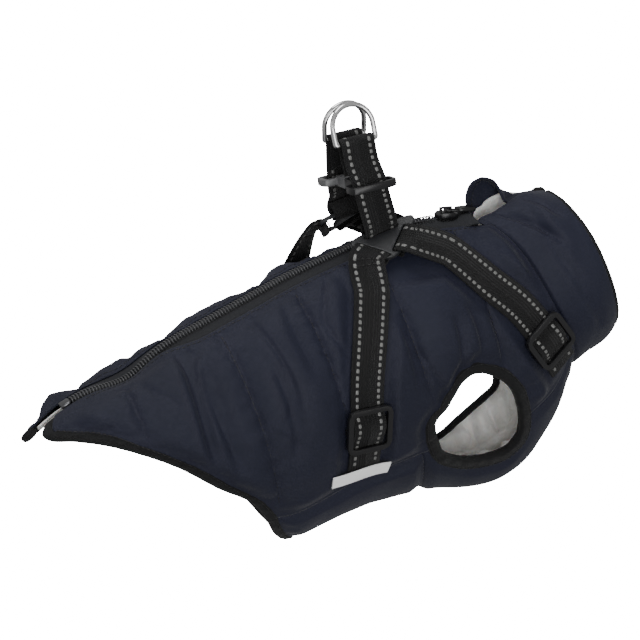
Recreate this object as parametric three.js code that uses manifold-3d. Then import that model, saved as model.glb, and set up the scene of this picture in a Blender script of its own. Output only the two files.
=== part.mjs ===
// Quilted winter coat for a small dog, with a harness built in. The coat is filled out as if worn:
// neck toward +X, zip along the back, near side toward -Y. Millimetres, +Z up.
// The origin lies on the wearer's back at the withers, under the two harness plates.
import * as THREE from 'three';
import { mergeVertices } from 'three/addons/utils/BufferGeometryUtils.js';
import ManifoldModule from 'manifold-3d';

const wasm = await ManifoldModule();
wasm.setup();

// Driving dimensions.
const TILT = THREE.MathUtils.degToRad(20);   // the body's length rises toward the neck
const EGG = 0.28;                            // how much narrower a section is at the belly
const SHELL_IN = -2;                       // inner face of the quilted shell
const LINING_OUT = -3.1;
const LINING_IN = -4.3;
const SEAM_GAP = 0.3;
const TAPE_HALF = 12;                        // zip tape, from the middle to the panel seam
const COIL_HALF = 3;                         // zip coil, half its width
const ZIP_LOW = -198;                        // tail end and neck end of the zip tapes
const ZIP_HIGH = 52;
const SLIDER_AT = 40;
const WEBBING = 20;
const WEB_THICK = 1.5;
const STRAP_LIFT = 2.9;                      // middle of a strap above the coat's ground surface
const GROOVE = 1.1;                          // quilting height left under a strap
const ARMHOLE_BAND = 5.6;
const COAT_MIDDLE_P = -120;                  // starting guess when a piece's outline is worked out
const CHEST_SEAM_P = -31;
const QUILT_LEAN = 0.09;                     // how much a stitched line slants, mm per degree
const QUILT_CROWN = { near: 4.2, far: 6 };
const QUILT_RISE = { near: 22, far: 10 };    // distance from the zip seam over which the cloth rises
const CROWN_LOSS = 0.52;                     // share of the far crown that is lost down its side
const TAIL_SWELL = 6;                        // more of it at the tail end
const HEM_CALM_FAR = 5;                      // how soon the far panel rises from its hem binding
const CREASE_FLOOR = -0.8;                   // deepest point of a fold
const FLAP_HEIGHT = 20;                      // how far the far collar corner stands up
const PLATE_THICK = 2.2;
const PLATE_BAR = 2.2;
const PLATE_SLOT = 2.4;
const PLATE_EDGE = 1.5;                      // middle of a plate's bars, outside its corner triangle
const RING_WIRE = 1.5;                       // radius of the D-ring's wire
const RING_HALF = 12;                        // half the D-ring's width, between wire middles
const RING_LEG = 8.5;                        // its straight leg, from the bar to the crown
const RING_SLANT = THREE.MathUtils.degToRad(7);
const TURN_RADIUS = 2.45;                    // middle of a strap as it turns round a plate's bar
const FRAME_OUT = 27;                        // strap adjuster, outside
const FRAME_BAR = 3;

// Sections of the ground surface along the body. Columns: place along the body p, top, bottom,
// half width.
const SECTIONS = [
  [-232, -4, -32, 14], [-205, 3, -49, 27], [-178, 6, -76, 37], [-150, 8, -106, 44],
  [-118, 9, -128, 48], [-90, 10, -131, 50], [-60, 11, -132, 51], [-30, 10, -142, 50],
  [0, 8, -156, 46], [22, 5, -160, 43], [40, -1, -157, 41], [56, -8, -147, 39],
  [66, -12, -137, 38], [76, -13, -124, 38], [92, -13, -113, 40], [110, -15, -109, 40],
];
// Hem of each side. Columns: angle from the zip, hem edge p, inner edge of the hem binding p.
const HEM = {
  near: [[0, -212, -203], [10, -216, -205], [20, -219.5, -205], [32, -219, -201], [44, -215.5, -195],
    [53, -209, -188], [62, -201.5, -180], [72, -189.5, -169], [82, -176.5, -156], [91, -164, -145],
    [104, -149, -133], [112, -137, -125], [120, -131, -120], [130, -128, -117], [148, -124, -113],
    [165, -118, -107], [180, -114, -103]],
  far: [[0, -224, -218], [18, -228, -220], [27, -228, -217], [36, -223, -208], [50, -211, -193],
    [62, -199, -180], [72, -187, -169], [82, -175, -156], [91, -162, -144],
    [104, -147, -131], [112, -134, -122], [120, -127, -116], [130, -123, -112], [148, -119, -108],
    [165, -116, -105], [180, -114, -103]],
};
// Collar. Columns: angle, collar seam p, collar rim p.
const COLLAR = [
  [0, 57, 104], [9, 58, 105], [27, 64, 106], [43, 67, 107], [60, 69, 108], [82, 72, 109],
  [105, 76, 111], [126, 80, 113], [152, 82, 115], [180, 83, 116],
];
// Side seam between side panels and belly. Columns: p, angle.
const SEAM = [[-135, 128], [-100, 129], [-77, 127], [-49, 126], [-27, 122], [0, 122], [44, 123],
  [63, 127], [90, 130]];
// Free edge of each armhole and a place inside it. Columns: p, angle.
const ARMHOLE = {
  near: [[-21.5, 112], [-20, 105], [-12.5, 100.5], [-4.5, 94.5], [2, 90.5], [9, 89], [16, 90.5], [22, 94],
    [27.5, 98.5], [31.5, 105], [33, 113], [33, 122], [30, 132], [22, 136.5], [11, 135.5], [0, 133.5],
    [-10, 130.5], [-18, 125]],
  far: [[-12, 130], [-11.5, 119], [-6.5, 108], [2, 99], [12, 92.5], [22, 90], [32, 92], [40, 98],
    [46, 107], [49, 117], [46, 125], [38, 126], [28, 127.5], [16, 130.5], [3.5, 135], [-6, 137]],
};
const ARMHOLE_MIDDLE = { near: [7, 114], far: [20, 113] };
// Stitched quilting lines: where each one leaves the zip, along the body.
const QUILT = {
  near: [-232, -168, -109, -62, -12, 38, 84],
  far: [-232, -185, -132, -70, -8, 50, 104],
};
// Deep folds by hand. Columns: p at top, p at bottom, angle at top, angle at bottom, half width, depth.
const FOLDS = {
  near: [[-137, -145, 14, 88, 4.5, 4.4], [-129, -137, 34, 92, 4.5, 3.6], [-82, -104, 34, 80, 3.5, 1.8],
    [7, 3, 66, 88, 3, 2.4], [19, 17, 62, 88, 3, 2.4], [31, 30, 66, 92, 3, 2.2]],
  far: [[-152, -158, 22, 92, 4.5, 3.8], [-100, -108, 28, 84, 4.2, 3.2], [-28, -34, 30, 80, 4, 2.4],
    [9, 6, 64, 88, 3, 2.4], [24, 22, 62, 90, 3, 2.2]],
};
// Straps on the cloth, middle line. Columns: p, angle.
const LINES = {
  near: {
    belly: [[-28, 38], [-36, 50], [-45, 63], [-52, 74], [-57, 84], [-61, 96], [-66, 108], [-69, 117]],
    chest: [[24, 33], [33, 46], [39, 55], [49, 68], [56, 82], [61.5, 96], [64, 105], [66, 114]],
  },
  far: {
    belly: [[-44, 40], [-48, 52], [-51, 63], [-55, 74], [-58, 84], [-61, 96], [-66, 108], [-69, 117]],
    chest: [[21, 35], [31, 46], [39, 55], [49, 68], [56, 82], [61.5, 96], [64, 105], [66, 114]],
  },
};
const ADJUSTERS = { belly: [-61, 96], chest: [60.1, 92] };
// Corners of the harness plates.
const PLATES = {
  near: { a: [-25, -8.5, 7], b: [11, -10, 18.5], c: [-9, -27.8, 2] },
  far: { a: [-31, 16, 15], b: [3, 20, 22], c: [-19, 34.5, 3.5] },
};
// Free run of the lead straps between plate and ring.
const LEADS = {
  near: { run: [[-15, -16, 33], [-17, -15, 42], [-20.5, -12, 54]], bar: [-22.5, -9, 64.5],
    crown: [-25.5, -4, 85.5] },
  far: { run: [[-16, 19, 31], [-18.5, 15.5, 37.5], [-20.5, 12.5, 50]], bar: [-21, 9, 63.5],
    crown: [-24, 4, 84.5] },
};

const COLOUR = { navy: 0x2a323f, black: 0x17181a, fleece: 0xe4e2dd, plastic: 0x34373a, steel: 0xc4c7ca,
  grey: 0xa9adb0, label: 0xf2f1ee, zip: 0x1c1d20 };

// Numbers and curves.
const lerp = THREE.MathUtils.lerp;
const rad = THREE.MathUtils.degToRad;
const V = (x, y, z) => new THREE.Vector3(x, y, z);
const list = (a) => V(a[0], a[1], a[2]);

// Smooth value of a table's column between its rows.
function column(table, k, x) {
  const n = table.length;
  let i = 0;
  while (i < n - 2 && x > table[i + 1][0]) i += 1;
  const slope = (j) => {
    const lo = Math.max(j - 1, 0);
    const hi = Math.min(j + 1, n - 1);
    return (table[hi][k] - table[lo][k]) / (table[hi][0] - table[lo][0]);
  };
  const h = table[i + 1][0] - table[i][0];
  const t = (x - table[i][0]) / h;
  if (t < 0) return table[i][k] + slope(i) * t * h;
  if (t > 1) return table[i + 1][k] + slope(i + 1) * (t - 1) * h;
  const t2 = t * t;
  const t3 = t2 * t;
  return (2 * t3 - 3 * t2 + 1) * table[i][k] + (t3 - 2 * t2 + t) * h * slope(i)
    + (3 * t2 - 2 * t3) * table[i + 1][k] + (t3 - t2) * h * slope(i + 1);
}
const ease = (a, b, x) => THREE.MathUtils.smoothstep(x, a, b);

// Point of the ground surface. Positive angles run down the near side, negative ones the far side.
function ground(p, deg) {
  const top = column(SECTIONS, 1, p);
  const bottom = column(SECTIONS, 2, p);
  const c = Math.cos(rad(deg));
  const w = column(SECTIONS, 3, p) * (1 - EGG * ((1 - c) / 2) ** 2);
  const q = (top + bottom) / 2 + (top - bottom) / 2 * c;
  return V(p * Math.cos(TILT) - q * Math.sin(TILT), -w * Math.sin(rad(deg)),
    p * Math.sin(TILT) + q * Math.cos(TILT));
}
function outward(p, deg) {
  const along = ground(p + 0.5, deg).sub(ground(p - 0.5, deg));
  const around = ground(p, deg + 0.5).sub(ground(p, deg - 0.5));
  return around.cross(along).normalize();
}
const lifted = (p, deg, h) => ground(p, deg).addScaledVector(outward(p, deg), h);
const halfWidth = (p) => column(SECTIONS, 3, p);
const angleOf = (p, mm) => THREE.MathUtils.radToDeg(mm / halfWidth(p));

function nearest(points, at) {
  let best = 1e9;
  for (let i = 0; i < points.length - 1; i += 1) {
    const line = new THREE.Line3(points[i], points[i + 1]);
    best = Math.min(best, line.closestPointToPoint(at, true, V(0, 0, 0)).distanceTo(at));
  }
  return best;
}
const onGround = (rows, side) => rows.map(([p, deg]) => ground(p, side * deg));
const STRAPS_ON = { 1: [], [-1]: [] };
for (const side of [1, -1]) {
  const lines = side > 0 ? LINES.near : LINES.far;
  STRAPS_ON[side].push(onGround([[-22, 16], ...lines.belly, [-70, 124]], side));
  STRAPS_ON[side].push(onGround([[-6, 26], ...lines.chest, [67, 122]], side));
}
const closed = (rows) => [...rows, rows[0]];
const ARM_LOOP = {
  1: onGround(closed(ARMHOLE.near), 1),
  [-1]: onGround(closed(ARMHOLE.far), -1),
};
const hemOf = (deg) => (deg < 0 || deg > 180 ? HEM.far : HEM.near);

// Crown of the quilting. The far panel stands high beside the zip, most of all at its tail end.
function quiltCrown(p, a, side) {
  const fromZip = halfWidth(p) * rad(a - zipEdge(p));
  if (side > 0) return QUILT_CROWN.near * ease(0, QUILT_RISE.near, fromZip);
  const down = QUILT_CROWN.far * (1 - CROWN_LOSS * ease(48, 88, a));
  return (down + TAIL_SWELL * ease(180, 195, -p)) * ease(0, QUILT_RISE.far, fromZip);
}
// Height of the quilted cloth over the ground surface on a side panel.
function sidePuff(p, deg) {
  const side = deg < 0 ? -1 : 1;
  const a = Math.abs(deg);
  const lines = side > 0 ? QUILT.near : QUILT.far;
  const lean = p + QUILT_LEAN * a;
  let i = 0;
  while (i < lines.length - 2 && lean > lines[i + 1]) i += 1;
  const t = THREE.MathUtils.clamp((lean - lines[i]) / (lines[i + 1] - lines[i]), 0, 1);
  let puff = 0.5 + quiltCrown(p, a, side) * Math.sin(Math.PI * t) ** 0.75;
  for (const [p0, p1, a0, a1, half, depth] of side > 0 ? FOLDS.near : FOLDS.far) {
    const s = (a - a0) / (a1 - a0);
    const d = (p - lerp(p0, p1, s)) / half;
    const fade = ease(-0.15, 0.2, s) * (1 - ease(0.8, 1.15, s));
    puff -= depth * fade * Math.exp(-d * d);
  }
  puff = Math.max(puff, CREASE_FLOOR);
  const at = ground(p, deg);
  const calm = (d, lo, hi) => { puff = lerp(Math.min(puff, GROOVE), puff, ease(lo, hi, d)); };
  for (const strap of STRAPS_ON[side]) calm(nearest(strap, at), 14, 21);
  calm(nearest(ARM_LOOP[side], at), ARMHOLE_BAND, 14);
  calm((column(SEAM, 1, p) - a) * 0.8, 0, 9);
  calm((p - column(hemOf(deg), 2, a)) * 0.75, 0, side > 0 ? 9 : HEM_CALM_FAR);
  calm(column(COLLAR, 1, a) - p, 0, 9);
  return puff;
}
// Height of the belly and chest panels, plainly padded between their seams.
function underPuff(p, deg) {
  const side = deg > 180 ? -1 : 1;
  const a = deg > 180 ? 360 - deg : deg;
  const at = ground(p, deg);
  let puff = 2.6 + 0.7 * Math.sin(p / 13);
  const calm = (d, lo, hi) => { puff = lerp(Math.min(puff, GROOVE), puff, ease(lo, hi, d)); };
  calm(nearest(ARM_LOOP[side], at), ARMHOLE_BAND, 12);
  calm((a - column(SEAM, 1, p)) * 0.8, 0, 7);
  calm(Math.abs(p - CHEST_SEAM_P), 0, 7);
  calm((p - column(hemOf(deg), 2, a)) * 0.9, 0, 7);
  calm(column(COLLAR, 1, a) - p, 0, 7);
  calm(nearest(STRAPS_ON[side][1], at), 14, 20);
  return puff;
}
function collarPuff(p, deg) {
  const a = deg > 180 ? 360 - deg : Math.abs(deg);
  const seam = column(COLLAR, 1, a);
  const t = THREE.MathUtils.clamp((p - seam) / (column(COLLAR, 2, a) - seam), 0, 1);
  const rolls = 0.7 * Math.sin(11 * t + a / 21) * (1 - ease(60, 110, a));
  return 0.9 + 3.2 * Math.sin(Math.PI * t) ** 0.7 + rolls * Math.sin(Math.PI * t);
}
// The far collar's free corner stands up as a rounded flap.
function flap(p, deg) {
  const t = THREE.MathUtils.clamp((p - 57) / 24, 0, 1);
  return FLAP_HEIGHT * Math.sin(Math.PI * t) ** 0.42 * (1 - ease(5, 20, Math.abs(deg)));
}

// Solids.
const coat = new THREE.Group();
coat.name = 'dog_coat';

function material(kind) {
  const metal = kind === 'steel' ? 1 : 0;
  const rough = { steel: 0.28, plastic: 0.55, zip: 0.5 }[kind] ?? 0.85;
  return new THREE.MeshStandardMaterial({ color: COLOUR[kind], metalness: metal, roughness: rough });
}
function geometry(points, faces) {
  let volume = 0;
  for (const [a, b, c] of faces) {
    volume += points[a].dot(V(0, 0, 0).crossVectors(points[b], points[c])) / 6;
  }
  const g = new THREE.BufferGeometry();
  g.setAttribute('position', new THREE.Float32BufferAttribute(points.flatMap((v) => [v.x, v.y, v.z]), 3));
  g.setIndex(faces.flatMap(([a, b, c]) => (volume > 0 ? [a, b, c] : [a, c, b])));
  return g;
}
function weld(geo) {
  const g = geo.clone();
  g.deleteAttribute('normal');
  g.deleteAttribute('uv');
  return mergeVertices(g, 1e-4);
}
function toSolid(geo) {
  const m = weld(geo);
  return new wasm.Manifold(new wasm.Mesh({
    numProp: 3,
    vertProperties: new Float32Array(m.attributes.position.array),
    triVerts: new Uint32Array(m.index.array),
  }));
}
function fromSolid(solid) {
  const mesh = solid.getMesh();
  const g = new THREE.BufferGeometry();
  g.setAttribute('position', new THREE.BufferAttribute(new Float32Array(mesh.vertProperties), 3));
  g.setIndex(new THREE.BufferAttribute(new Uint32Array(mesh.triVerts), 1));
  return g;
}
const joined = (geos) => fromSolid(geos.map(toSolid).reduce((a, b) => a.add(b)));
const cut = (geo, tools) => fromSolid(tools.map(toSolid).reduce((a, b) => a.subtract(b), toSolid(geo)));

function add(name, geo, kind) {
  geo.computeVertexNormals();
  const mesh = new THREE.Mesh(geo, material(kind));
  mesh.name = name;
  coat.add(mesh);
  return mesh;
}
// Closed wall between two grids of points, outer[i][j] and inner[i][j].
function wall(outer, inner) {
  const n = outer.length;
  const m = outer[0].length;
  const points = [...outer.flat(), ...inner.flat()];
  const faces = [];
  const o = (i, j) => i * m + j;
  const k = (i, j) => n * m + i * m + j;
  const quad = (a, b, c, d) => faces.push([a, b, c], [a, c, d]);
  for (let i = 0; i < n - 1; i += 1) {
    for (let j = 0; j < m - 1; j += 1) {
      quad(o(i, j), o(i + 1, j), o(i + 1, j + 1), o(i, j + 1));
      quad(k(i, j), k(i, j + 1), k(i + 1, j + 1), k(i + 1, j));
    }
    quad(o(i, 0), k(i, 0), k(i + 1, 0), o(i + 1, 0));
    quad(o(i, m - 1), o(i + 1, m - 1), k(i + 1, m - 1), k(i, m - 1));
  }
  for (let j = 0; j < m - 1; j += 1) {
    quad(o(0, j), o(0, j + 1), k(0, j + 1), k(0, j));
    quad(o(n - 1, j), k(n - 1, j), k(n - 1, j + 1), o(n - 1, j + 1));
  }
  return geometry(points, faces);
}
// Solid swept through rings of equal count, closed on itself or capped.
function sweep(rings, loop = false) {
  const m = rings[0].length;
  const n = rings.length;
  const points = rings.flat();
  const faces = [];
  for (let i = 0; i < (loop ? n : n - 1); i += 1) {
    const a = i * m;
    const b = ((i + 1) % n) * m;
    for (let j = 0; j < m; j += 1) {
      const k = (j + 1) % m;
      faces.push([a + j, b + j, b + k], [a + j, b + k, a + k]);
    }
  }
  if (!loop) {
    for (const [start, flip] of [[0, false], [(n - 1) * m, true]]) {
      const middle = points.slice(start, start + m).reduce((s, v) => s.add(v), V(0, 0, 0));
      points.push(middle.divideScalar(m));
      const c = points.length - 1;
      for (let j = 0; j < m; j += 1) {
        const k = (j + 1) % m;
        faces.push(flip ? [c, start + k, start + j] : [c, start + j, start + k]);
      }
    }
  }
  return geometry(points, faces);
}
// Piece of the coat between two angles and two curves of p, from lift lo to lift hi(p, angle).
function piece({ from, to, low, high, rows, cols, lo, hi }) {
  const outer = [];
  const inner = [];
  for (let i = 0; i <= rows; i += 1) {
    outer.push([]);
    inner.push([]);
    for (let j = 0; j <= cols; j += 1) {
      const u = i / rows;
      const v = j / cols;
      let p = lerp(COAT_MIDDLE_P, -COAT_MIDDLE_P / 2, u);
      let deg = 0;
      for (let k = 0; k < 14; k += 1) {
        deg = lerp(from(p), to(p), v);
        p = lerp(low(deg), high(deg), u);
      }
      outer[i].push(lifted(p, deg, hi(p, deg)));
      inner[i].push(lifted(p, deg, typeof lo === 'function' ? lo(p, deg) : lo));
    }
  }
  return wall(outer, inner);
}
const fold180 = (deg) => (deg > 180 ? 360 - deg : Math.abs(deg));
const hem = (deg) => column(hemOf(deg), 1, fold180(deg));
const band = (deg) => column(hemOf(deg), 2, fold180(deg));
const collarSeam = (deg) => column(COLLAR, 1, fold180(deg));
const rim = (deg) => column(COLLAR, 2, fold180(deg));
const sideSeam = (p) => column(SEAM, 1, p);
// Edge of the side panels along the zip. Below the zip the two edges part toward the tail tips.
function zipEdge(p) {
  const seam = TAPE_HALF + SEAM_GAP;
  return angleOf(p, lerp(seam, 5, ease(0, 30, -200 - p)));
}

// Loop of points round an armhole, moved out from its free edge within the surface.
function armLoop(side, out, lift) {
  const name = side > 0 ? 'near' : 'far';
  const count = 26;
  const rows = [];
  const curve = new THREE.CatmullRomCurve3(ARMHOLE[name].map(([p, deg]) => V(p, deg, 0)), true);
  for (let i = 0; i < count; i += 1) {
    const s = curve.getPoint(i / count);
    rows.push([s.x, side * s.y]);
  }
  const middle = ground(ARMHOLE_MIDDLE[name][0], side * ARMHOLE_MIDDLE[name][1]);
  return rows.map(([p, deg], i) => {
    const before = rows[(i + count - 1) % count];
    const after = rows[(i + 1) % count];
    const t = ground(after[0], after[1]).sub(ground(before[0], before[1])).normalize();
    const normal = outward(p, deg);
    const away = V(0, 0, 0).crossVectors(t, normal).normalize();
    const at = ground(p, deg);
    if (away.dot(at.clone().sub(middle)) < 0) away.negate();
    return at.addScaledVector(away, out).addScaledVector(normal, lift);
  });
}
const armCutter = (side) => sweep([-15, -7, 0, 7, 15].map((h) => (
  armLoop(side, ARMHOLE_BAND + SEAM_GAP, h))));

// Side panels, belly and chest, collar: the quilted shell.
for (const [name, side] of [['near', 1], ['far', -1]]) {
  const s = (f) => (x) => side * f(x);
  const panel = piece({ from: s(zipEdge), to: s((p) => sideSeam(p) - 0.35), low: (d) => band(d) + 0.8,
    high: (d) => collarSeam(d) - 0.2, rows: 38, cols: 12, lo: SHELL_IN, hi: sidePuff });
  add(`side_${name}`, cut(panel, [armCutter(side)]), 'navy');
  const lining = piece({ from: s(zipEdge), to: s((p) => sideSeam(p) - 0.6), low: (d) => band(d) + 1.5,
    high: (d) => collarSeam(d) - 0.4, rows: 19, cols: 8, lo: LINING_IN, hi: () => LINING_OUT });
  add(`lining_${name}`, cut(lining, [armCutter(side)]), 'fleece');
  const binding = piece({ from: s(zipEdge), to: s((p) => sideSeam(p) - 0.25), low: hem, high: band,
    rows: 2, cols: 16, lo: LINING_IN, hi: () => 1 });
  add(`hem_binding_${name}`, binding, 'black');
  const loop = armLoop(side, 0, 0);
  const rings = loop.map((at, i) => {
    const out = armLoop(side, ARMHOLE_BAND, 0)[i].sub(at).normalize();
    const up = armLoop(side, 0, 1)[i].sub(at);
    const corners = [[0.4, 1.7], [ARMHOLE_BAND, 1.5], [ARMHOLE_BAND, -4.2], [0.4, -4.2], [0, -1]];
    return corners.map(([x, z]) => at.clone().addScaledVector(out, x).addScaledVector(up, z));
  });
  add(`armhole_binding_${name}`, sweep(rings, true), 'black');
}
const under = { from: (p) => sideSeam(p) + 0.35, to: (p) => 359.65 - sideSeam(p) };
const underIn = { from: (p) => sideSeam(p) + 0.6, to: (p) => 359.4 - sideSeam(p) };
add('belly_panel', piece({ ...under, low: (d) => band(d) + 0.5, high: () => CHEST_SEAM_P - 0.2,
  rows: 8, cols: 10, lo: SHELL_IN, hi: underPuff }), 'navy');
const chest = piece({ ...under, low: () => CHEST_SEAM_P + 0.1, high: (d) => collarSeam(d) - 0.2,
  rows: 12, cols: 12, lo: SHELL_IN, hi: underPuff });
add('chest_panel', cut(chest, [armCutter(1), armCutter(-1)]), 'navy');
const underLining = piece({ ...underIn, low: (d) => band(d) + 1.5, high: (d) => collarSeam(d) - 0.4,
  rows: 20, cols: 6, lo: LINING_IN, hi: () => LINING_OUT });
add('lining_under', cut(underLining, [armCutter(1), armCutter(-1)]), 'fleece');
add('hem_binding_belly', piece({ ...under, low: hem, high: band, rows: 2, cols: 8, lo: LINING_IN,
  hi: () => 1 }), 'black');
const collarEdge = (p) => angleOf(p, lerp(7, 2.5, ease(60, 80, p)));
const collarFaces = { low: (d) => collarSeam(d) + 0.2, high: (d) => rim(d) - 3 };
add('collar_near', piece({ from: collarEdge, to: () => 179.7, ...collarFaces, rows: 6, cols: 12,
  lo: SHELL_IN, hi: collarPuff }), 'navy');
add('collar_far', piece({ from: (p) => -collarEdge(p), to: () => -179.7, ...collarFaces, rows: 8, cols: 16,
  lo: (p, d) => SHELL_IN + flap(p, d), hi: (p, d) => collarPuff(p, d) + flap(p, d) }), 'navy');
for (const [name, side] of [['near', 1], ['far', -1]]) {
  add(`collar_lining_${name}`, piece({ from: (p) => side * collarEdge(p), to: () => side * 179.7,
    ...collarFaces, rows: 4, cols: 8, lo: LINING_IN, hi: () => LINING_OUT }), 'fleece');
}
add('rim_binding', piece({ from: (p) => collarEdge(p), to: (p) => 360 - collarEdge(p),
  low: (d) => rim(d) - 2.7, high: rim, rows: 1, cols: 26, lo: LINING_IN, hi: () => 1.2 }), 'black');

// Zip: two tapes, one coil, the slider with its pull tab, the box at the tail end.
for (const [name, side] of [['near', 1], ['far', -1]]) {
  add(`zip_tape_${name}`, piece({ from: (p) => side * angleOf(p, 0.2),
    to: (p) => side * angleOf(p, TAPE_HALF), low: () => ZIP_LOW, high: () => ZIP_HIGH,
    rows: 20, cols: 1, lo: -0.8, hi: () => 0.2 }), 'zip');
}
const coilRings = [];
for (let i = 0; i <= 20; i += 1) {
  const p = lerp(ZIP_LOW + 2, SLIDER_AT - 7, i / 20);
  const section = [[-COIL_HALF, 0.5], [COIL_HALF, 0.5], [COIL_HALF, 1.1], [1.6, 2.3], [-1.6, 2.3],
    [-COIL_HALF, 1.1]];
  coilRings.push(section.map(([y, z]) => lifted(p, 0, z).add(V(0, -y, 0))));
}
add('zip_coil', sweep(coilRings), 'zip');

// Local frame on the surface: x along a direction, z outward.
function frameAt(origin, along, up) {
  const z = up.clone().normalize();
  const y = V(0, 0, 0).crossVectors(z, along).normalize();
  const x = V(0, 0, 0).crossVectors(y, z);
  return new THREE.Matrix4().makeBasis(x, y, z).setPosition(origin);
}
function box(x0, x1, y0, y1, z0, z1) {
  const g = new THREE.BoxGeometry(x1 - x0, y1 - y0, z1 - z0);
  return g.translate((x0 + x1) / 2, (y0 + y1) / 2, (z0 + z1) / 2);
}
const bars = (rows) => sweep(rows.map(([x, w, z0, z1]) => [V(x, -w, z0), V(x, w, z0), V(x, w, z1),
  V(x, -w, z1)]));
const alongZip = (p) => frameAt(ground(p, 0), ground(p + 3, 0).sub(ground(p - 3, 0)), outward(p, 0));
const sliderBody = bars([[-6, 3, 0.7, 3], [-4, 4.2, 0.7, 4], [3, 4.6, 0.7, 4], [6, 3.4, 0.7, 3]]);
const bridge = joined([box(-4.2, -2.8, -0.8, 0.8, 3.5, 6.9), box(2.2, 3.4, -0.8, 0.8, 3.5, 6.9),
  box(-4.2, 3.4, -0.8, 0.8, 5.8, 6.9)]);
const slider = add('zip_slider', joined([sliderBody, bridge]), 'plastic');
slider.applyMatrix4(alongZip(SLIDER_AT));
const pullShape = new THREE.Shape();
pullShape.moveTo(-0.5, -2.4);
pullShape.lineTo(13, -3);
pullShape.absarc(14, 0, 3.1, -Math.PI / 2.4, Math.PI / 2.4, false);
pullShape.lineTo(13, 3);
pullShape.lineTo(-0.5, 2.4);
const eye = new THREE.Path();
eye.moveTo(0.5, -1.3);
eye.lineTo(0.5, 1.3);
eye.lineTo(5.6, 1.3);
eye.lineTo(5.6, -1.3);
pullShape.holes.push(eye);
const pullGeo = new THREE.ExtrudeGeometry(pullShape, { depth: 1, bevelEnabled: false, curveSegments: 6 });
pullGeo.translate(0, 0, -0.5);
pullGeo.rotateY(rad(6));
pullGeo.translate(0, 0, 4.9);
const pull = add('zip_pull', weld(pullGeo), 'plastic');
pull.applyMatrix4(alongZip(SLIDER_AT));
const zipBox = add('zip_box', joined([box(-4, 3.6, -3.6, 3.6, -0.6, 2.4), box(3, 6.2, 0.6, 2.6, 0.2, 1.6)]),
  'steel');
zipBox.applyMatrix4(alongZip(ZIP_LOW - 6.5));

// Strap swept through rows of middle point and width direction.
function ribbon(rows, width = WEBBING, thick = WEB_THICK) {
  let last = null;
  const rings = rows.map((row, i) => {
    const next = rows[Math.min(i + 1, rows.length - 1)].at;
    const t = next.clone().sub(rows[Math.max(i - 1, 0)].at).normalize();
    const side = row.side.clone().addScaledVector(t, -row.side.dot(t)).normalize();
    if (last && side.dot(last) < 0) side.negate();
    last = side;
    const up = V(0, 0, 0).crossVectors(side, t).multiplyScalar(thick / 2);
    const half = side.clone().multiplyScalar(width / 2);
    return [[1, 1], [-1, 1], [-1, -1], [1, -1]].map(([a, b]) => (
      row.at.clone().addScaledVector(half, a).addScaledVector(up, b)));
  });
  return sweep(rings);
}
// Half turn of a strap round a bar: open is where both layers leave, first is the side of layer one.
function turn(bar, side, open, first, radius, tail) {
  const steps = 8;
  const rows = [];
  if (tail > 0) {
    rows.push({ at: bar.clone().addScaledVector(open, tail).addScaledVector(first, radius), side });
  }
  for (let i = 0; i <= steps; i += 1) {
    const a = Math.PI * i / steps;
    rows.push({ side, at: bar.clone().addScaledVector(first, radius * Math.cos(a))
      .addScaledVector(open, -radius * Math.sin(a)) });
  }
  return rows;
}
// Smooth run between fixed rows.
function smooth(rows, per = 3) {
  const curve = new THREE.CatmullRomCurve3(rows.map((r) => r.at), false, 'centripetal');
  const out = [];
  const n = (rows.length - 1) * per;
  for (let i = 0; i <= n; i += 1) {
    const k = Math.min(Math.floor(i / per), rows.length - 2);
    const f = i / per - k;
    const a = rows[k].side.clone();
    const b = rows[k + 1].side.clone();
    if (a.dot(b) < 0) b.negate();
    out.push({ at: curve.getPoint(i / n), side: a.lerp(b, f) });
  }
  return out;
}
// Rows of a strap that lies on the cloth, rising over the adjuster's middle bar.
function layOn(line, side, adjuster) {
  const curve = new THREE.CatmullRomCurve3(line.map(([p, deg]) => V(p, deg, 0)));
  const middle = ground(adjuster[0], side * adjuster[1]);
  const rows = [];
  const count = 22;
  for (let i = 0; i <= count; i += 1) {
    const s = curve.getPoint(i / count);
    const next = curve.getPoint(Math.min(i / count + 0.01, 1));
    const prev = curve.getPoint(Math.max(i / count - 0.01, 0));
    const t = ground(next.x, side * next.y).sub(ground(prev.x, side * prev.y));
    const normal = outward(s.x, side * s.y);
    const d = ground(s.x, side * s.y).distanceTo(middle);
    const lift = STRAP_LIFT + 2.5 * (1 - ease(2.5, 9, d)) + 1.6 * (1 - ease(0, 0.16, i / count));
    rows.push({ at: lifted(s.x, side * s.y, lift), side: V(0, 0, 0).crossVectors(normal, t).normalize() });
  }
  return rows;
}

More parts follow.
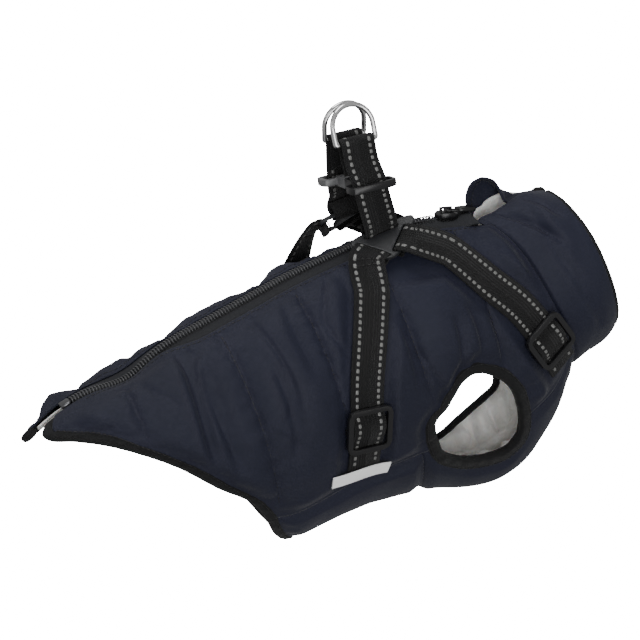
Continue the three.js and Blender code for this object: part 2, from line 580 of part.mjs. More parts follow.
// Harness plates: a rounded triangle with a slot along each edge.
function plate(corners) {
  const [a, b, c] = [list(corners.a), list(corners.b), list(corners.c)];
  const x = b.clone().sub(a).normalize();
  const z = V(0, 0, 0).crossVectors(x, c.clone().sub(a)).normalize();
  if (z.z < 0) z.negate();
  const y = V(0, 0, 0).crossVectors(z, x);
  const flat = [a, b, c].map((v) => new THREE.Vector2(v.clone().sub(a).dot(x), v.clone().sub(a).dot(y)));
  const centre = flat[0].clone().add(flat[1]).add(flat[2]).divideScalar(3);
  // Edge lines moved out by d, as points where neighbouring lines cross.
  const moved = (d) => flat.map((v, i) => {
    const into = v.clone().sub(flat[(i + 2) % 3]).normalize();
    const off = flat[(i + 1) % 3].clone().sub(v).normalize();
    const half = Math.acos(THREE.MathUtils.clamp(-into.dot(off), -1, 1)) / 2;
    const dir = into.clone().sub(off).normalize();
    return { at: v.clone().addScaledVector(dir, d / Math.sin(half)), half };
  });
  const edge = moved(PLATE_EDGE + PLATE_BAR / 2);
  const shape = new THREE.Shape();
  edge.forEach(({ at }, i) => {
    const back = 4.5;
    const p0 = at.clone().add(edge[(i + 2) % 3].at.clone().sub(at).setLength(back));
    const p1 = at.clone().add(edge[(i + 1) % 3].at.clone().sub(at).setLength(back));
    if (i === 0) shape.moveTo(p0.x, p0.y);
    else shape.lineTo(p0.x, p0.y);
    shape.quadraticCurveTo(at.x, at.y, p1.x, p1.y);
  });
  const line = moved(PLATE_EDGE);
  const reach = PLATE_BAR / 2 + PLATE_SLOT;
  const need = line.map(({ half }) => (1.5 + reach * Math.cos(2 * half)) / Math.sin(2 * half));
  const edges = [];
  const slots = [];
  line.forEach(({ at }, i) => {
    const next = line[(i + 1) % 3].at;
    const e = next.clone().sub(at).normalize();
    const span = next.distanceTo(at);
    const mid = at.clone().addScaledVector(e, (need[i] + span - need[(i + 1) % 3]) / 2);
    const inwardDir = new THREE.Vector2(-e.y, e.x);
    if (inwardDir.dot(centre.clone().sub(mid)) < 0) inwardDir.negate();
    const half = WEBBING / 2 + 0.3;
    const slotAt = mid.clone().addScaledVector(inwardDir, (PLATE_BAR + PLATE_SLOT) / 2);
    const slot = box(-half, half, -PLATE_SLOT / 2, PLATE_SLOT / 2, -4, 4);
    slots.push(slot.rotateZ(Math.atan2(e.y, e.x)).translate(slotAt.x, slotAt.y, 0));
    const world = (w) => x.clone().multiplyScalar(w.x).addScaledVector(y, w.y);
    edges.push({ bar: a.clone().add(world(mid)), along: world(e), out: world(inwardDir).negate(), up: z });
  });
  const g = new THREE.ExtrudeGeometry(shape, { depth: PLATE_THICK, bevelEnabled: false, curveSegments: 4 });
  g.translate(0, 0, -PLATE_THICK / 2);
  const solid = cut(g, slots);
  solid.applyMatrix4(new THREE.Matrix4().makeBasis(x, y, z).setPosition(a));
  return { geo: solid, lead: edges[0], chest: edges[1], belly: edges[2] };
}
// Closed bar of rectangular section round a flat loop of points.
function hoop(points, half, low, high) {
  const n = points.length;
  return sweep(points.map((v, i) => {
    const t = points[(i + 1) % n].clone().sub(points[(i + n - 1) % n]).normalize();
    const s = V(t.y, -t.x, 0);
    return [[-half, low], [half, low], [half, high], [-half, high]].map(([a, b]) => (
      v.clone().addScaledVector(s, a).add(V(0, 0, b))));
  }), true);
}
function roundedLoop(w, h, r, per = 2) {
  const points = [];
  [[1, 1], [-1, 1], [-1, -1], [1, -1]].forEach(([sx, sy], q) => {
    for (let i = 0; i <= per; i += 1) {
      const a = Math.PI / 2 * (q + i / per);
      points.push(V(sx * (w / 2 - r) + r * Math.cos(a), sy * (h / 2 - r) + r * Math.sin(a), 0));
    }
  });
  return points;
}
function adjuster(line, at, side) {
  const mid = FRAME_OUT - FRAME_BAR;
  const frame = hoop(roundedLoop(mid, mid, 3), FRAME_BAR / 2, 4.1, 6.3);
  const reach = mid / 2;
  const parts = [frame, box(-1.6, 1.6, -reach - 1, reach + 1, 1.9, 3.9),
    box(-1.6, 1.6, -reach - 1.4, -reach + 1.4, 1.9, 5), box(-1.6, 1.6, reach - 1.4, reach + 1.4, 1.9, 5)];
  const curve = new THREE.CatmullRomCurve3(line.map(([p, deg]) => V(p, deg, 0)));
  let best = [1e9, 0];
  for (let i = 0; i <= 200; i += 1) {
    const s = curve.getPoint(i / 200);
    const d = Math.hypot(s.x - at[0], s.y - at[1]);
    if (d < best[0]) best = [d, i / 200];
  }
  const s0 = curve.getPoint(Math.max(best[1] - 0.03, 0));
  const s1 = curve.getPoint(Math.min(best[1] + 0.03, 1));
  const s = curve.getPoint(best[1]);
  const t = ground(s1.x, side * s1.y).sub(ground(s0.x, side * s0.y));
  const geo = joined(parts);
  geo.applyMatrix4(frameAt(ground(s.x, side * s.y), t, outward(s.x, side * s.y)));
  return geo;
}
const ringBar = () => V(Math.cos(RING_SLANT), 0, Math.sin(RING_SLANT));
// D-ring: straight bar, two legs and a half round crown, in the plane of bar and crown.
function dRing(bar, crown) {
  const b = ringBar();
  const up = list(crown).sub(list(bar));
  up.addScaledVector(b, -up.dot(b)).normalize();
  const n = V(0, 0, 0).crossVectors(b, up);
  const R = RING_HALF;
  const path = [[-R + 1.2, 0], [R - 1.2, 0], [R, 1.2]];
  for (let i = 0; i <= 10; i += 1) {
    const a = Math.PI * i / 10;
    path.push([R * Math.cos(a), RING_LEG + R * Math.sin(a)]);
  }
  path.push([-R, 1.2]);
  const world = path.map(([x, y]) => list(bar).addScaledVector(b, x).addScaledVector(up, y));
  const m = world.length;
  return sweep(world.map((v, i) => {
    const t = world[(i + 1) % m].clone().sub(world[(i + m - 1) % m]).normalize();
    const s = V(0, 0, 0).crossVectors(t, n);
    const ring = [];
    for (let k = 0; k < 6; k += 1) {
      const a = Math.PI * 2 * k / 6;
      ring.push(v.clone().addScaledVector(s, RING_WIRE * Math.cos(a))
        .addScaledVector(n, RING_WIRE * Math.sin(a)));
    }
    return ring;
  }), true);
}

for (const [name, side] of [['near', 1], ['far', -1]]) {
  const made = plate(PLATES[name]);
  add(`plate_${name}`, made.geo, 'plastic');
  const edgeTurn = (edge, tail) => turn(edge.bar, edge.along, edge.out, edge.up.clone().negate(),
    TURN_RADIUS, tail);
  for (const kind of ['belly', 'chest']) {
    const line = LINES[name][kind];
    const at = ADJUSTERS[kind];
    const edge = made[kind];
    const start = edgeTurn(edge, 2.5);
    const body = layOn(line, side, at);
    const leave = { at: edge.bar.clone().addScaledVector(edge.up, TURN_RADIUS).addScaledVector(edge.out, 6),
      side: edge.along };
    const run = smooth([start[start.length - 1], leave, body[0], body[1]], 4);
    add(`${kind}_strap_${name}`, ribbon([...start, ...run.slice(1, -4), ...body]), 'black');
    add(`${kind}_slider_${name}`, adjuster(line, at, side), 'plastic');
  }
  const lead = LEADS[name];
  const b = ringBar();
  const bar = list(lead.bar);
  const crown = list(lead.crown).sub(bar).normalize();
  add(`ring_${name}`, dRing(lead.bar, lead.crown), 'steel');
  const edge = made.lead;
  const low = turn(edge.bar, edge.along, edge.up, edge.out, TURN_RADIUS, 7);
  const outerSide = V(0, 0, 0).crossVectors(crown, b).normalize();
  if (outerSide.y * side > 0) outerSide.negate();
  const down = crown.clone().negate();
  const R = RING_WIRE + 0.35 + WEB_THICK / 2;
  const high = turn(bar, b, down, outerSide, R, 0);
  const climb = { at: low[low.length - 1].at.clone().addScaledVector(edge.up, 6), side: edge.along };
  const free = lead.run.map((v, i) => ({ at: list(v), side: edge.along.clone().lerp(b, (i + 1) / 4) }));
  const run = smooth([low[low.length - 1], climb, ...free, high[0]], 4);
  const tail = { at: high[high.length - 1].at.clone().addScaledVector(down, 17), side: b };
  add(`lead_strap_${name}`, ribbon([...low, ...run.slice(1, -1), ...high, tail]), 'black');
}

// Keeper buckle between the two lead straps: a frame round each strap, joined in the middle.
const buckleFrame = frameAt(V(-16.5, 0.3, 40), V(1, 0.04, 0.12), V(-0.12, 0.05, 1));
const loopAt = (x, y) => hoop(roundedLoop(25.4, 9, 2), 1.3, -2, 2).translate(x, y, 0);
const nearHalf = joined([loopAt(-0.2, -15.6), box(-9, 9, -11.4, -1.2, -3.6, 3.6)]);
const farHalf = joined([loopAt(-2, 15.4), box(-8, 8, 1.2, 11.4, -3, 3), box(-5, 5, -0.9, 2, -2.4, 2.4)]);
add('buckle_near', nearHalf.applyMatrix4(buckleFrame), 'plastic');
add('buckle_far', farHalf.applyMatrix4(buckleFrame), 'grey');

// Care label: a folded tab, sewn in at the side seam and lying up over the strap's end.
const labelRows = [];
for (let i = 0; i <= 6; i += 1) {
  const p = lerp(-89, -54, i / 6);
  const deg = lerp(114.2, 121.4, i / 6);
  labelRows.push({ at: lifted(p, deg, 4.7), side: ground(p, deg + 1).sub(ground(p, deg - 1)).normalize() });
}
add('care_label', ribbon(labelRows, 8, 1.2), 'label');

export default coat;
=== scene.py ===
import math

import bmesh
import bpy
import numpy as np
from mathutils import Matrix, Vector


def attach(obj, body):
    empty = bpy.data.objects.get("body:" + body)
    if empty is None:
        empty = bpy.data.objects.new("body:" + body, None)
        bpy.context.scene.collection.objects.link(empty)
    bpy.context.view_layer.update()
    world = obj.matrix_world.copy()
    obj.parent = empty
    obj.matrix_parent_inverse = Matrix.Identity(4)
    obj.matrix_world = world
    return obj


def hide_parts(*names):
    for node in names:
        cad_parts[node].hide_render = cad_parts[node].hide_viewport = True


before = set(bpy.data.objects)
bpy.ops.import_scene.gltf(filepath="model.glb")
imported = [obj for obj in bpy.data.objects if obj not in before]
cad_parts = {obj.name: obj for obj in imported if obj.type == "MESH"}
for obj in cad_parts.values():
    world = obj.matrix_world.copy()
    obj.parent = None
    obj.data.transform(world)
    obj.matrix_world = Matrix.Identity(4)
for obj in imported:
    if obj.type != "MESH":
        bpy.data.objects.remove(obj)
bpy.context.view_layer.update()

# The view
# The coat is looked at from its near side, a little from the tail and from above, with a long
# lens. The frame is taken as 640 by 640 and the coat's withers lie right of and above its middle.
VIEW_TURN, VIEW_HEIGHT = math.radians(25), math.radians(17)
VIEW_DISTANCE = 1.4
PICTURE, SENSOR = 640, 36
DOTS_PER_METRE = 1800.0
WITHERS_DOT = (385, 248)


def placed(name, data):
    """New object that holds data, put into the scene."""
    made = bpy.data.objects.new(name, data)
    bpy.context.collection.objects.link(made)
    return made


ahead = Vector((math.sin(VIEW_TURN) * math.cos(VIEW_HEIGHT),
                math.cos(VIEW_TURN) * math.cos(VIEW_HEIGHT), -math.sin(VIEW_HEIGHT)))
right = Vector((math.cos(VIEW_TURN), -math.sin(VIEW_TURN), 0))
above = right.cross(ahead)
looked_at = ((PICTURE / 2 - WITHERS_DOT[0]) / DOTS_PER_METRE * right
             - (PICTURE / 2 - WITHERS_DOT[1]) / DOTS_PER_METRE * above)
camera_data = bpy.data.cameras.new("camera")
camera_data.sensor_width = SENSOR
camera_data.lens = SENSOR * DOTS_PER_METRE * VIEW_DISTANCE / PICTURE
camera = placed("camera", camera_data)
camera.matrix_world = (Matrix.Translation(looked_at - VIEW_DISTANCE * ahead)
                       @ Matrix((right, above, -ahead)).transposed().to_4x4())
bpy.context.scene.camera = camera

# Side panels
# Each side of the coat is one panel of navy polyester over wadding, from the zip down to the belly
# seam. Stitched lines run down it and the cloth swells and rumples between them.
SIDES = ((1, "near"), (-1, "far"))
MM = 0.001
TILT = math.radians(20)
NARROWER_BELOW = 0.28
# Sections of the ground surface. Columns: place along the body, top, bottom, half width, all mm.
SECTIONS = np.array([
    (-232, -4, -32, 14), (-205, 3, -49, 27), (-178, 6, -76, 37), (-150, 8, -106, 44),
    (-118, 9, -128, 48), (-90, 10, -131, 50), (-60, 11, -132, 51), (-30, 10, -142, 50),
    (0, 8, -156, 46), (22, 5, -160, 43), (40, -1, -157, 41), (56, -8, -147, 39),
    (66, -12, -137, 38), (76, -13, -124, 38), (92, -13, -113, 40), (110, -15, -109, 40)], float)
# Hem of the near and of the far side. Columns: angle from the zip in degrees, hem edge, inner edge
# of the hem binding.
HEM = {
    1: np.array([(0, -212, -202.5), (10, -216, -205.5), (20, -219.5, -209), (32, -219, -210),
                 (44, -215.5, -202.5), (53, -209, -193), (62, -201.5, -184.5), (72, -189.5, -176),
                 (82, -176.5, -163.5), (91, -164, -152), (104, -149, -139), (112, -137, -129),
                 (120, -131, -124), (130, -128, -121), (148, -124, -117), (165, -118, -111),
                 (180, -114, -107)], float),
    -1: np.array([(0, -224, -218), (18, -228, -220), (27, -228, -217), (36, -223, -208),
                  (50, -211, -193), (62, -199, -180), (72, -187, -169), (82, -175, -156),
                  (91, -162, -144), (104, -147, -133), (112, -134, -124), (120, -127, -118),
                  (130, -123, -115), (148, -119, -112), (165, -116, -109), (180, -114, -107)],
                 float)}
# Collar. Columns: angle, collar seam, rim.
COLLAR = np.array([
    (0, 57, 104), (9, 58, 105), (27, 64, 106), (43, 67, 107), (60, 69, 108), (82, 72, 109),
    (105, 76, 111), (126, 80, 113), (152, 82, 115), (180, 83, 116)], float)
# Side seam. Columns: place along the body, angle.
SEAM = np.array([(-135, 128), (-100, 129), (-77, 127), (-49, 126), (-27, 122), (0, 122), (44, 123),
                 (63, 127), (90, 130)], float)
# Free edge of each armhole. Columns: place along the body, angle.
ARMHOLE = {
    1: ((-21.5, 112), (-20, 105), (-12.5, 100.5), (-4.5, 94.5), (2, 90.5), (9, 89), (16, 90.5),
        (22, 94), (27.5, 98.5), (31.5, 105), (33, 113), (33, 122), (30, 132), (22, 136.5),
        (11, 135.5), (0, 133.5), (-10, 130.5), (-18, 125)),
    -1: ((-12, 130), (-11.5, 119), (-6.5, 108), (2, 99), (12, 92.5), (22, 90), (32, 92), (40, 98),
         (46, 107), (49, 117), (46, 125), (38, 126), (28, 127.5), (16, 130.5), (3.5, 135),
         (-6, 137))}
ARMHOLE_BAND = {1: 7.4, -1: 4.4}
ARMHOLE_MIDDLE = {1: (7, 114), -1: (20, 113)}
TAPE_HALF = 12.0
ZIP_DIP_AT, ZIP_DIP, ZIP_DIP_HALF, ZIP_DIP_DEGREES = -164, 6.5, 18, 20
SEAM_GAP = 0.3
PANEL_OVER_TAPE = 1.2
# Heights of the cloth over the ground surface, in mm: under straps, at seams, at the hem binding,
# and least of all. Then how far panels run under the hem binding, and stay off an armhole's edge.
UNDER_STRAP, AT_SEAM, AT_HEM, LOWEST = 1.1, -0.4, 0.3, -0.8
UNDER_BINDING, OFF_ARMHOLE = 3, 2.2
MM_PER_DEGREE = 0.75
# Rumples of a side panel. Columns: length along and across in mm per wave unit, height.
RUMPLES = ((13, 34, 1.3), (6, 15, 0.5), (2.6, 5, 0.1))
QUILT_LINES = {1: (-232, -168, -109, -62, -12, 38, 84), -1: (-232, -185, -132, -70, -8, 50, 104)}
QUILT_CROWN = {1: 4.2, -1: 6.0}
QUILT_RISE = {1: 22, -1: 10}
CROWN_LOSS = 0.52
TAIL_SWELL, TAIL_LOBE = 4.6, 5.0
HEM_CALM = {1: 14, -1: 5}
QUILT_LEAN = 0.09
# Deep folds. Columns: place at top and at bottom, angle at top and at bottom, half width, depth.
FOLDS = {
    1: ((-137, -145, 14, 88, 5, 5.2), (-129, -137, 34, 92, 5.5, 4.8), (-95, -104, 50, 92, 5, 2.2),
        (-72, -80, 22, 62, 6, 1.8), (-20, -26, 40, 84, 5, 2), (7, 3, 62, 88, 4.5, 2.2),
        (19, 17, 60, 88, 4.5, 2.2), (31, 30, 64, 92, 4.5, 2)),
    -1: ((-152, -158, 22, 92, 5, 4.2), (-100, -108, 28, 84, 5, 3.6), (-28, -34, 30, 80, 5, 2.6),
         (9, 6, 64, 88, 4.5, 2.2), (24, 22, 62, 90, 4.5, 2))}
# Middle lines of the straps on the cloth. Columns: place along the body, angle.
STRAP_LINES = {
    ("belly", 1): ((-28, 38), (-36, 50), (-45, 63), (-52, 74), (-57, 84), (-61, 96), (-66, 108),
                   (-69, 117)),
    ("chest", 1): ((24, 33), (33, 46), (39, 55), (49, 68), (56, 82), (61.5, 96), (64, 105),
                   (66, 114)),
    ("belly", -1): ((-44, 40), (-48, 52), (-51, 63), (-55, 74), (-58, 84), (-61, 96), (-66, 108),
                    (-69, 117)),
    ("chest", -1): ((21, 35), (31, 46), (39, 55), (49, 68), (56, 82), (61.5, 96), (64, 105),
                    (66, 114))}
STRAP_ENDS = {"belly": ((-22, 16), (-70, 124)), "chest": ((-6, 26), (67, 122))}


def column(table, k, x):
    """Value of a table's column k at x: a cubic between the rows, with each row's slope taken from
    its two neighbours, and a straight run past the ends."""
    xs, ys = table[:, 0], table[:, k]
    x = np.asarray(x, float)
    slope = np.gradient(ys, xs)
    slope[1:-1] = (ys[2:] - ys[:-2]) / (xs[2:] - xs[:-2])
    i = np.clip(np.searchsorted(xs, x, side="right") - 1, 0, len(xs) - 2)
    h = xs[i + 1] - xs[i]
    t = (x - xs[i]) / h
    cubic = ((2 * t**3 - 3 * t**2 + 1) * ys[i] + (t**3 - 2 * t**2 + t) * h * slope[i]
             + (3 * t**2 - 2 * t**3) * ys[i + 1] + (t**3 - t**2) * h * slope[i + 1])
    before = ys[i] + slope[i] * t * h
    after = ys[i + 1] + slope[i + 1] * (t - 1) * h
    return np.where(t < 0, before, np.where(t > 1, after, cubic))


def ease(a, b, x):
    """Smooth step from 0 at a to 1 at b."""
    t = np.clip((x - a) / (b - a), 0, 1)
    return t * t * (3 - 2 * t)


def ground(p, angle):
    """Ground surface in mm: an oval section at place p, narrower below, at an angle from the zip,
    with the near side positive, less a rounded valley in which the zip runs near the tail, then
    turned up by the coat's tilt."""
    p, degrees = np.broadcast_arrays(np.asarray(p, float), np.asarray(angle, float))
    angle = np.radians(degrees)
    top, bottom = column(SECTIONS, 1, p), column(SECTIONS, 2, p)
    half = column(SECTIONS, 3, p) * (1 - NARROWER_BELOW * ((1 - np.cos(angle)) / 2) ** 2)
    dip = ZIP_DIP * np.exp(-((p - ZIP_DIP_AT) / ZIP_DIP_HALF) ** 2
                           - (degrees / ZIP_DIP_DEGREES) ** 2)
    q = (top + bottom) / 2 + (top - bottom) / 2 * np.cos(angle) - dip
    return np.stack([p * math.cos(TILT) - q * math.sin(TILT), -half * np.sin(angle),
                     p * math.sin(TILT) + q * math.cos(TILT)], -1)


def unit(v):
    """Vectors scaled to length 1."""
    return v / np.maximum(np.linalg.norm(v, axis=-1, keepdims=True), 1e-12)


def outward(p, angle):
    """Direction out of the ground surface: its slope round the body crossed with its slope along
    it."""
    round_body = ground(p, angle + 0.5) - ground(p, angle - 0.5)
    along_body = ground(p + 0.5, angle) - ground(p - 0.5, angle)
    return unit(np.cross(round_body, along_body))


def lifted(p, angle, height):
    """Point a height off the ground surface."""
    p, angle = np.asarray(p, float), np.asarray(angle, float)
    return ground(p, angle) + outward(p, angle) * np.asarray(height, float)[..., None]


def distance_to(points, line):
    """Distance of each point to a line of straight stretches, the least over the stretches."""
    best = np.full(points.shape[:-1], 1e9)
    for a, b in zip(line[:-1], line[1:]):
        t = np.clip(((points - a) @ (b - a)) / ((b - a) @ (b - a)), 0, 1)
        best = np.minimum(best, np.linalg.norm(points - (a + t[..., None] * (b - a)), axis=-1))
    return best


def through(rows, per):
    """Smooth curve through rows: a centripetal cubic with per steps between neighbours."""
    rows = np.asarray(rows, float)
    wide = np.concatenate([2 * rows[:1] - rows[1:2], rows, 2 * rows[-1:] - rows[-2:-1]])
    gap = np.sqrt(np.maximum(np.linalg.norm(np.diff(wide, axis=0), axis=1), 1e-9))
    d0, d1, d2 = gap[:-2, None], gap[1:-1, None], gap[2:, None]
    p0, p1, p2, p3 = wide[:-3], wide[1:-2], wide[2:-1], wide[3:]
    m1 = ((p1 - p0) / d0 - (p2 - p0) / (d0 + d1) + (p2 - p1) / d1) * d1
    m2 = ((p2 - p1) / d1 - (p3 - p1) / (d1 + d2) + (p3 - p2) / d2) * d1
    t = (np.arange(per) / per)[None, :, None]
    p1, p2, m1, m2 = p1[:, None], p2[:, None], m1[:, None], m2[:, None]
    run = ((2 * t**3 - 3 * t**2 + 1) * p1 + (t**3 - 2 * t**2 + t) * m1 + (3 * t**2 - 2 * t**3) * p2
           + (t**3 - t**2) * m2)
    return np.concatenate([run.reshape(-1, rows.shape[1]), rows[-1:]])


def rumple(x, y, seed, waves=9):
    """Uneven swelling about zero, of size near 1: a sum of sine waves of random slant and
    length."""
    dice = np.random.default_rng(seed)
    total = 0
    for _ in range(waves):
        kx, ky = dice.normal(0, 1, 2)
        total = total + np.sin(kx * x + ky * y + dice.uniform(0, 2 * math.pi)
                               + 0.8 * np.sin(0.6 * ky * x - 0.5 * kx * y + dice.uniform(0, 6)))
    return total / math.sqrt(waves)


def on_side(rows, side):
    """Ground points of rows of place and angle, on one side of the coat."""
    rows = np.asarray(rows, float)
    return ground(rows[:, 0], side * rows[:, 1])


strap_grounds = {(kind, side): on_side([STRAP_ENDS[kind][0], *rows, STRAP_ENDS[kind][1]], side)
                 for (kind, side), rows in STRAP_LINES.items()}
arm_rows = {side: through(rows + rows[:1], 4) for side, rows in ARMHOLE.items()}
arm_edges = {side: on_side(rows, side) for side, rows in arm_rows.items()}


def sampled(at, run, rows):
    """Rows of vectors read off at distances at, where row i lies at distance run[i]."""
    return np.stack([np.interp(at, run, rows[:, k]) for k in range(rows.shape[1])], -1)


def in_armhole(p, angle):
    """Whether a place and angle lie inside an armhole's free edge, by counting the edges
    crossed."""
    far = (angle < 0) | (angle > 180)
    a = folded(angle)
    inside = np.zeros(p.shape, bool)
    for side, rows in arm_rows.items():
        crossed = np.zeros(p.shape, bool)
        for (p0, a0), (p1, a1) in zip(rows[:-1], rows[1:]):
            if a0 != a1:
                crossed ^= ((a0 > a) != (a1 > a)) & (p < p0 + (a - a0) / (a1 - a0) * (p1 - p0))
        inside |= crossed & (far == (side < 0))
    return inside


def calmed(height, distance, near_by, far_off, flat=UNDER_STRAP):
    """Height held down to flat within near_by of something and let rise again by far_off."""
    held = np.minimum(height, flat)
    return held + (height - held) * ease(near_by, far_off, distance)


def half_width(p):
    """Half width of the coat at a place along the body."""
    return column(SECTIONS, 3, p)


def quilt_crown(p, a, side):
    """Crown of the quilting: it rises from the zip seam, and on the far side it stands higher
    beside the zip than down the side, most of all at the tail end."""
    from_zip = half_width(p) * np.radians(a - zip_edge(p, side))
    crown = QUILT_CROWN[side] * ease(0, QUILT_RISE[side], from_zip)
    if side > 0:
        return crown
    return (crown * (1 - CROWN_LOSS * ease(48, 88, a))
            + TAIL_SWELL * ease(180, 195, -p) * ease(0, QUILT_RISE[side], from_zip)
            + TAIL_LOBE * np.exp(-((p + 188) / 6) ** 2) * ease(0, 8, from_zip))


def side_height(p, angle, side):
    """Height of a side panel: a crown between stitched lines, less its deep folds, with puckers at
    the lines, hem, zip and armhole, and held down under straps and at seams."""
    a = np.abs(angle)
    lines = np.array(QUILT_LINES[side], float)
    lean = p + QUILT_LEAN * a
    i = np.clip(np.searchsorted(lines, lean, side="right") - 1, 0, len(lines) - 2)
    width = lines[i + 1] - lines[i]
    t = np.clip((lean - lines[i]) / width, 0, 1)
    arc = half_width(p) * np.radians(a)
    height = 0.5 + quilt_crown(p, a, side) * np.sin(math.pi * t) ** 0.75
    for p0, p1, a0, a1, fold_half, depth in FOLDS[side]:
        s = (a - a0) / (a1 - a0)
        d = (p - (p0 + (p1 - p0) * s) - 1.6 * np.sin(s * 4.1 + p0)) / fold_half
        d = np.where(d < 0, d / 0.5, d / 1.2)
        shown = ease(-0.15, 0.2, s) * (1 - ease(0.8, 1.15, s))
        height = height - depth * shown * np.exp(-d * d)
        height = height + 0.15 * depth * shown * np.exp(-(d - 2) ** 2)
    to_line = np.minimum(t, 1 - t) * width
    seed = 5 if side > 0 else 25
    soft = ease(TAPE_HALF, 22, arc)
    height = height + soft * sum(size * rumple(p / along, arc / across, seed + k)
                                 for k, (along, across, size) in enumerate(RUMPLES))
    ridge = np.abs(rumple(p / 17, arc / 30, seed + 8))
    creased = ease(-0.4, 0.8, rumple(p / 30, arc / 40, seed + 9))
    height = height - soft * 1.1 * np.exp(-(ridge / 0.16) ** 2) * creased
    at = ground(p, side * a)
    to_arm = distance_to(at, arm_edges[side])
    plain = ease(12, 34, to_arm)
    pucker = np.sin(arc / 1.25 + 2.4 * rumple(arc / 18, i, seed + 3))
    height = height + 0.5 * plain * np.exp(-to_line / 4.5) * pucker
    height = height - 0.7 * np.exp(-(to_line / 1.8) ** 2) * soft * plain
    height = np.maximum(height, LOWEST)
    for kind in STRAP_ENDS:
        height = calmed(height, distance_to(at, strap_grounds[kind, side]), 11.5, 19)
    height = calmed(height, to_arm, ARMHOLE_BAND[side], 16)
    middle = ARMHOLE_MIDDLE[side]
    turn_about = np.arctan2((a - middle[1]) * MM_PER_DEGREE, p - middle[0])
    height = height + (0.9 * np.exp(-((to_arm - 12) / 6) ** 2)
                       * np.sin(11 * turn_about + 1.2 * rumple(turn_about * 3, 0, seed + 6)))
    height = calmed(height, (column(SEAM, 1, p) - a) * 0.8, 0, 9, AT_SEAM)
    to_hem = (p - band(side * a)) * 0.75
    height = calmed(height, to_hem, 0, HEM_CALM[side], AT_HEM)
    height = height + (0.35 * np.exp(-((to_hem - 3.5) / 3) ** 2)
                       * np.sin(arc / 1.7 + rumple(arc / 14, 0, seed + 4)))
    height = calmed(height, column(COLLAR, 1, a) - p, 0, 9, AT_SEAM)
    from_zip = arc - half_width(p) * np.radians(zip_edge(p, side))
    height = height + (np.exp(-((from_zip - 3.5) / 3.2) ** 2)
                       * (0.5 + 0.5 * np.sin(p / 2.1 + 1.4 * rumple(p / 16, 0, seed + 5))))
    height = calmed(np.maximum(height, 0.9 * ease(4, 1, from_zip)), from_zip, 0, 1.0, 0.55)
    covers = ease(TAPE_HALF + 3, TAPE_HALF - 2, arc) * ease(-118, -150, p) if side > 0 else 0
    return height + covers * np.maximum(1.5 - height, 0)


def folded(angle):
    """Angle measured down from the zip on either side."""
    a = np.abs(angle)
    return np.where(a > 180, 360 - a, a)


def hem_column(k, angle):
    """Column of the hem table of the side that an angle is on."""
    far = (angle < 0) | (angle > 180)
    return np.where(far, column(HEM[-1], k, folded(angle)), column(HEM[1], k, folded(angle)))


def hem(angle):
    """Hem edge at an angle."""
    return hem_column(1, angle)


def band(angle):
    """Inner edge of the hem binding at an angle."""
    return hem_column(2, angle)


def collar_seam(angle):
    """Collar seam at an angle."""
    return column(COLLAR, 1, folded(angle))


def rim(angle):
    """Collar rim at an angle."""
    return column(COLLAR, 2, folded(angle))


def side_seam(p):
    """Angle of the side seam at a place along the body."""
    return column(SEAM, 1, p)


def zip_edge(p, side=-1):
    """Angle of a side panel's edge beside the zip. The two edges part toward the tail tips, and the
    near panel covers its tape up to the coil there."""
    seam_at = TAPE_HALF + SEAM_GAP
    reach = seam_at - PANEL_OVER_TAPE + (5 - seam_at) * ease(0, 30, -200 - p)
    if side > 0:
        reach = reach + (4.3 - reach) * ease(-118, -150, p)
    return np.degrees(reach / half_width(p))


def patch(low, high, first, last, rows, cols):
    """Places and angles of a piece of the coat: rows run from curve low(angle) to high(angle),
    columns from first(place) to last(place), and both are settled together by repeating."""
    u = np.linspace(0, 1, rows + 1)[:, None]
    v = np.linspace(0, 1, cols + 1)[None, :]
    p = np.repeat(-120 + 180 * u, cols + 1, axis=1)
    for _ in range(16):
        angle = first(p) * (1 - v) + last(p) * v
        p = low(angle) * (1 - u) + high(angle) * u
    return p, angle


def grid_faces(n, m, wrap_rows=False, wrap_cols=False):
    """Four-sided faces of an n by m grid of points, closed on itself where asked."""
    i = np.arange(n if wrap_rows else n - 1)[:, None]
    j = np.arange(m if wrap_cols else m - 1)[None, :]
    i2, j2 = (i + 1) % n, (j + 1) % m
    corners = np.broadcast_arrays(i * m + j, i2 * m + j, i2 * m + j2, i * m + j2)
    return np.stack(corners, -1).reshape(-1, 4)


def mesh_piece(name, points, faces, uv=None):
    """Object from points in mm and four-sided faces, with a cloth map in mm where given."""
    points = np.asarray(points, float).reshape(-1, 3) * MM
    faces = np.asarray(faces)
    used = np.zeros(len(points), bool)
    used[faces.ravel()] = True
    number = np.cumsum(used) - 1
    corners = number[faces.ravel()].astype(np.int32)
    mesh = bpy.data.meshes.new(name)
    mesh.vertices.add(int(used.sum()))
    mesh.vertices.foreach_set("co", points[used].ravel())
    mesh.loops.add(len(corners))
    mesh.loops.foreach_set("vertex_index", corners)
    mesh.polygons.add(len(faces))
    mesh.polygons.foreach_set("loop_start", np.arange(0, len(corners), 4, dtype=np.int32))
    mesh.polygons.foreach_set("use_smooth", np.ones(len(faces), bool))
    mesh.update(calc_edges=True)
    if uv is not None:
        layer = mesh.uv_layers.new(name="cloth")
        layer.data.foreach_set("uv", np.asarray(uv, float).reshape(-1, 2)[faces.ravel()].ravel())
    mesh.validate()
    return placed(name, mesh)


def run_length(points, axis):
    """Distance run along one direction of a grid of points, in mm."""
    steps = np.linalg.norm(np.diff(points, axis=axis), axis=-1)
    start = np.zeros_like(np.take(steps, [0], axis=axis))
    return np.concatenate([start, np.cumsum(steps, axis=axis)], axis=axis)


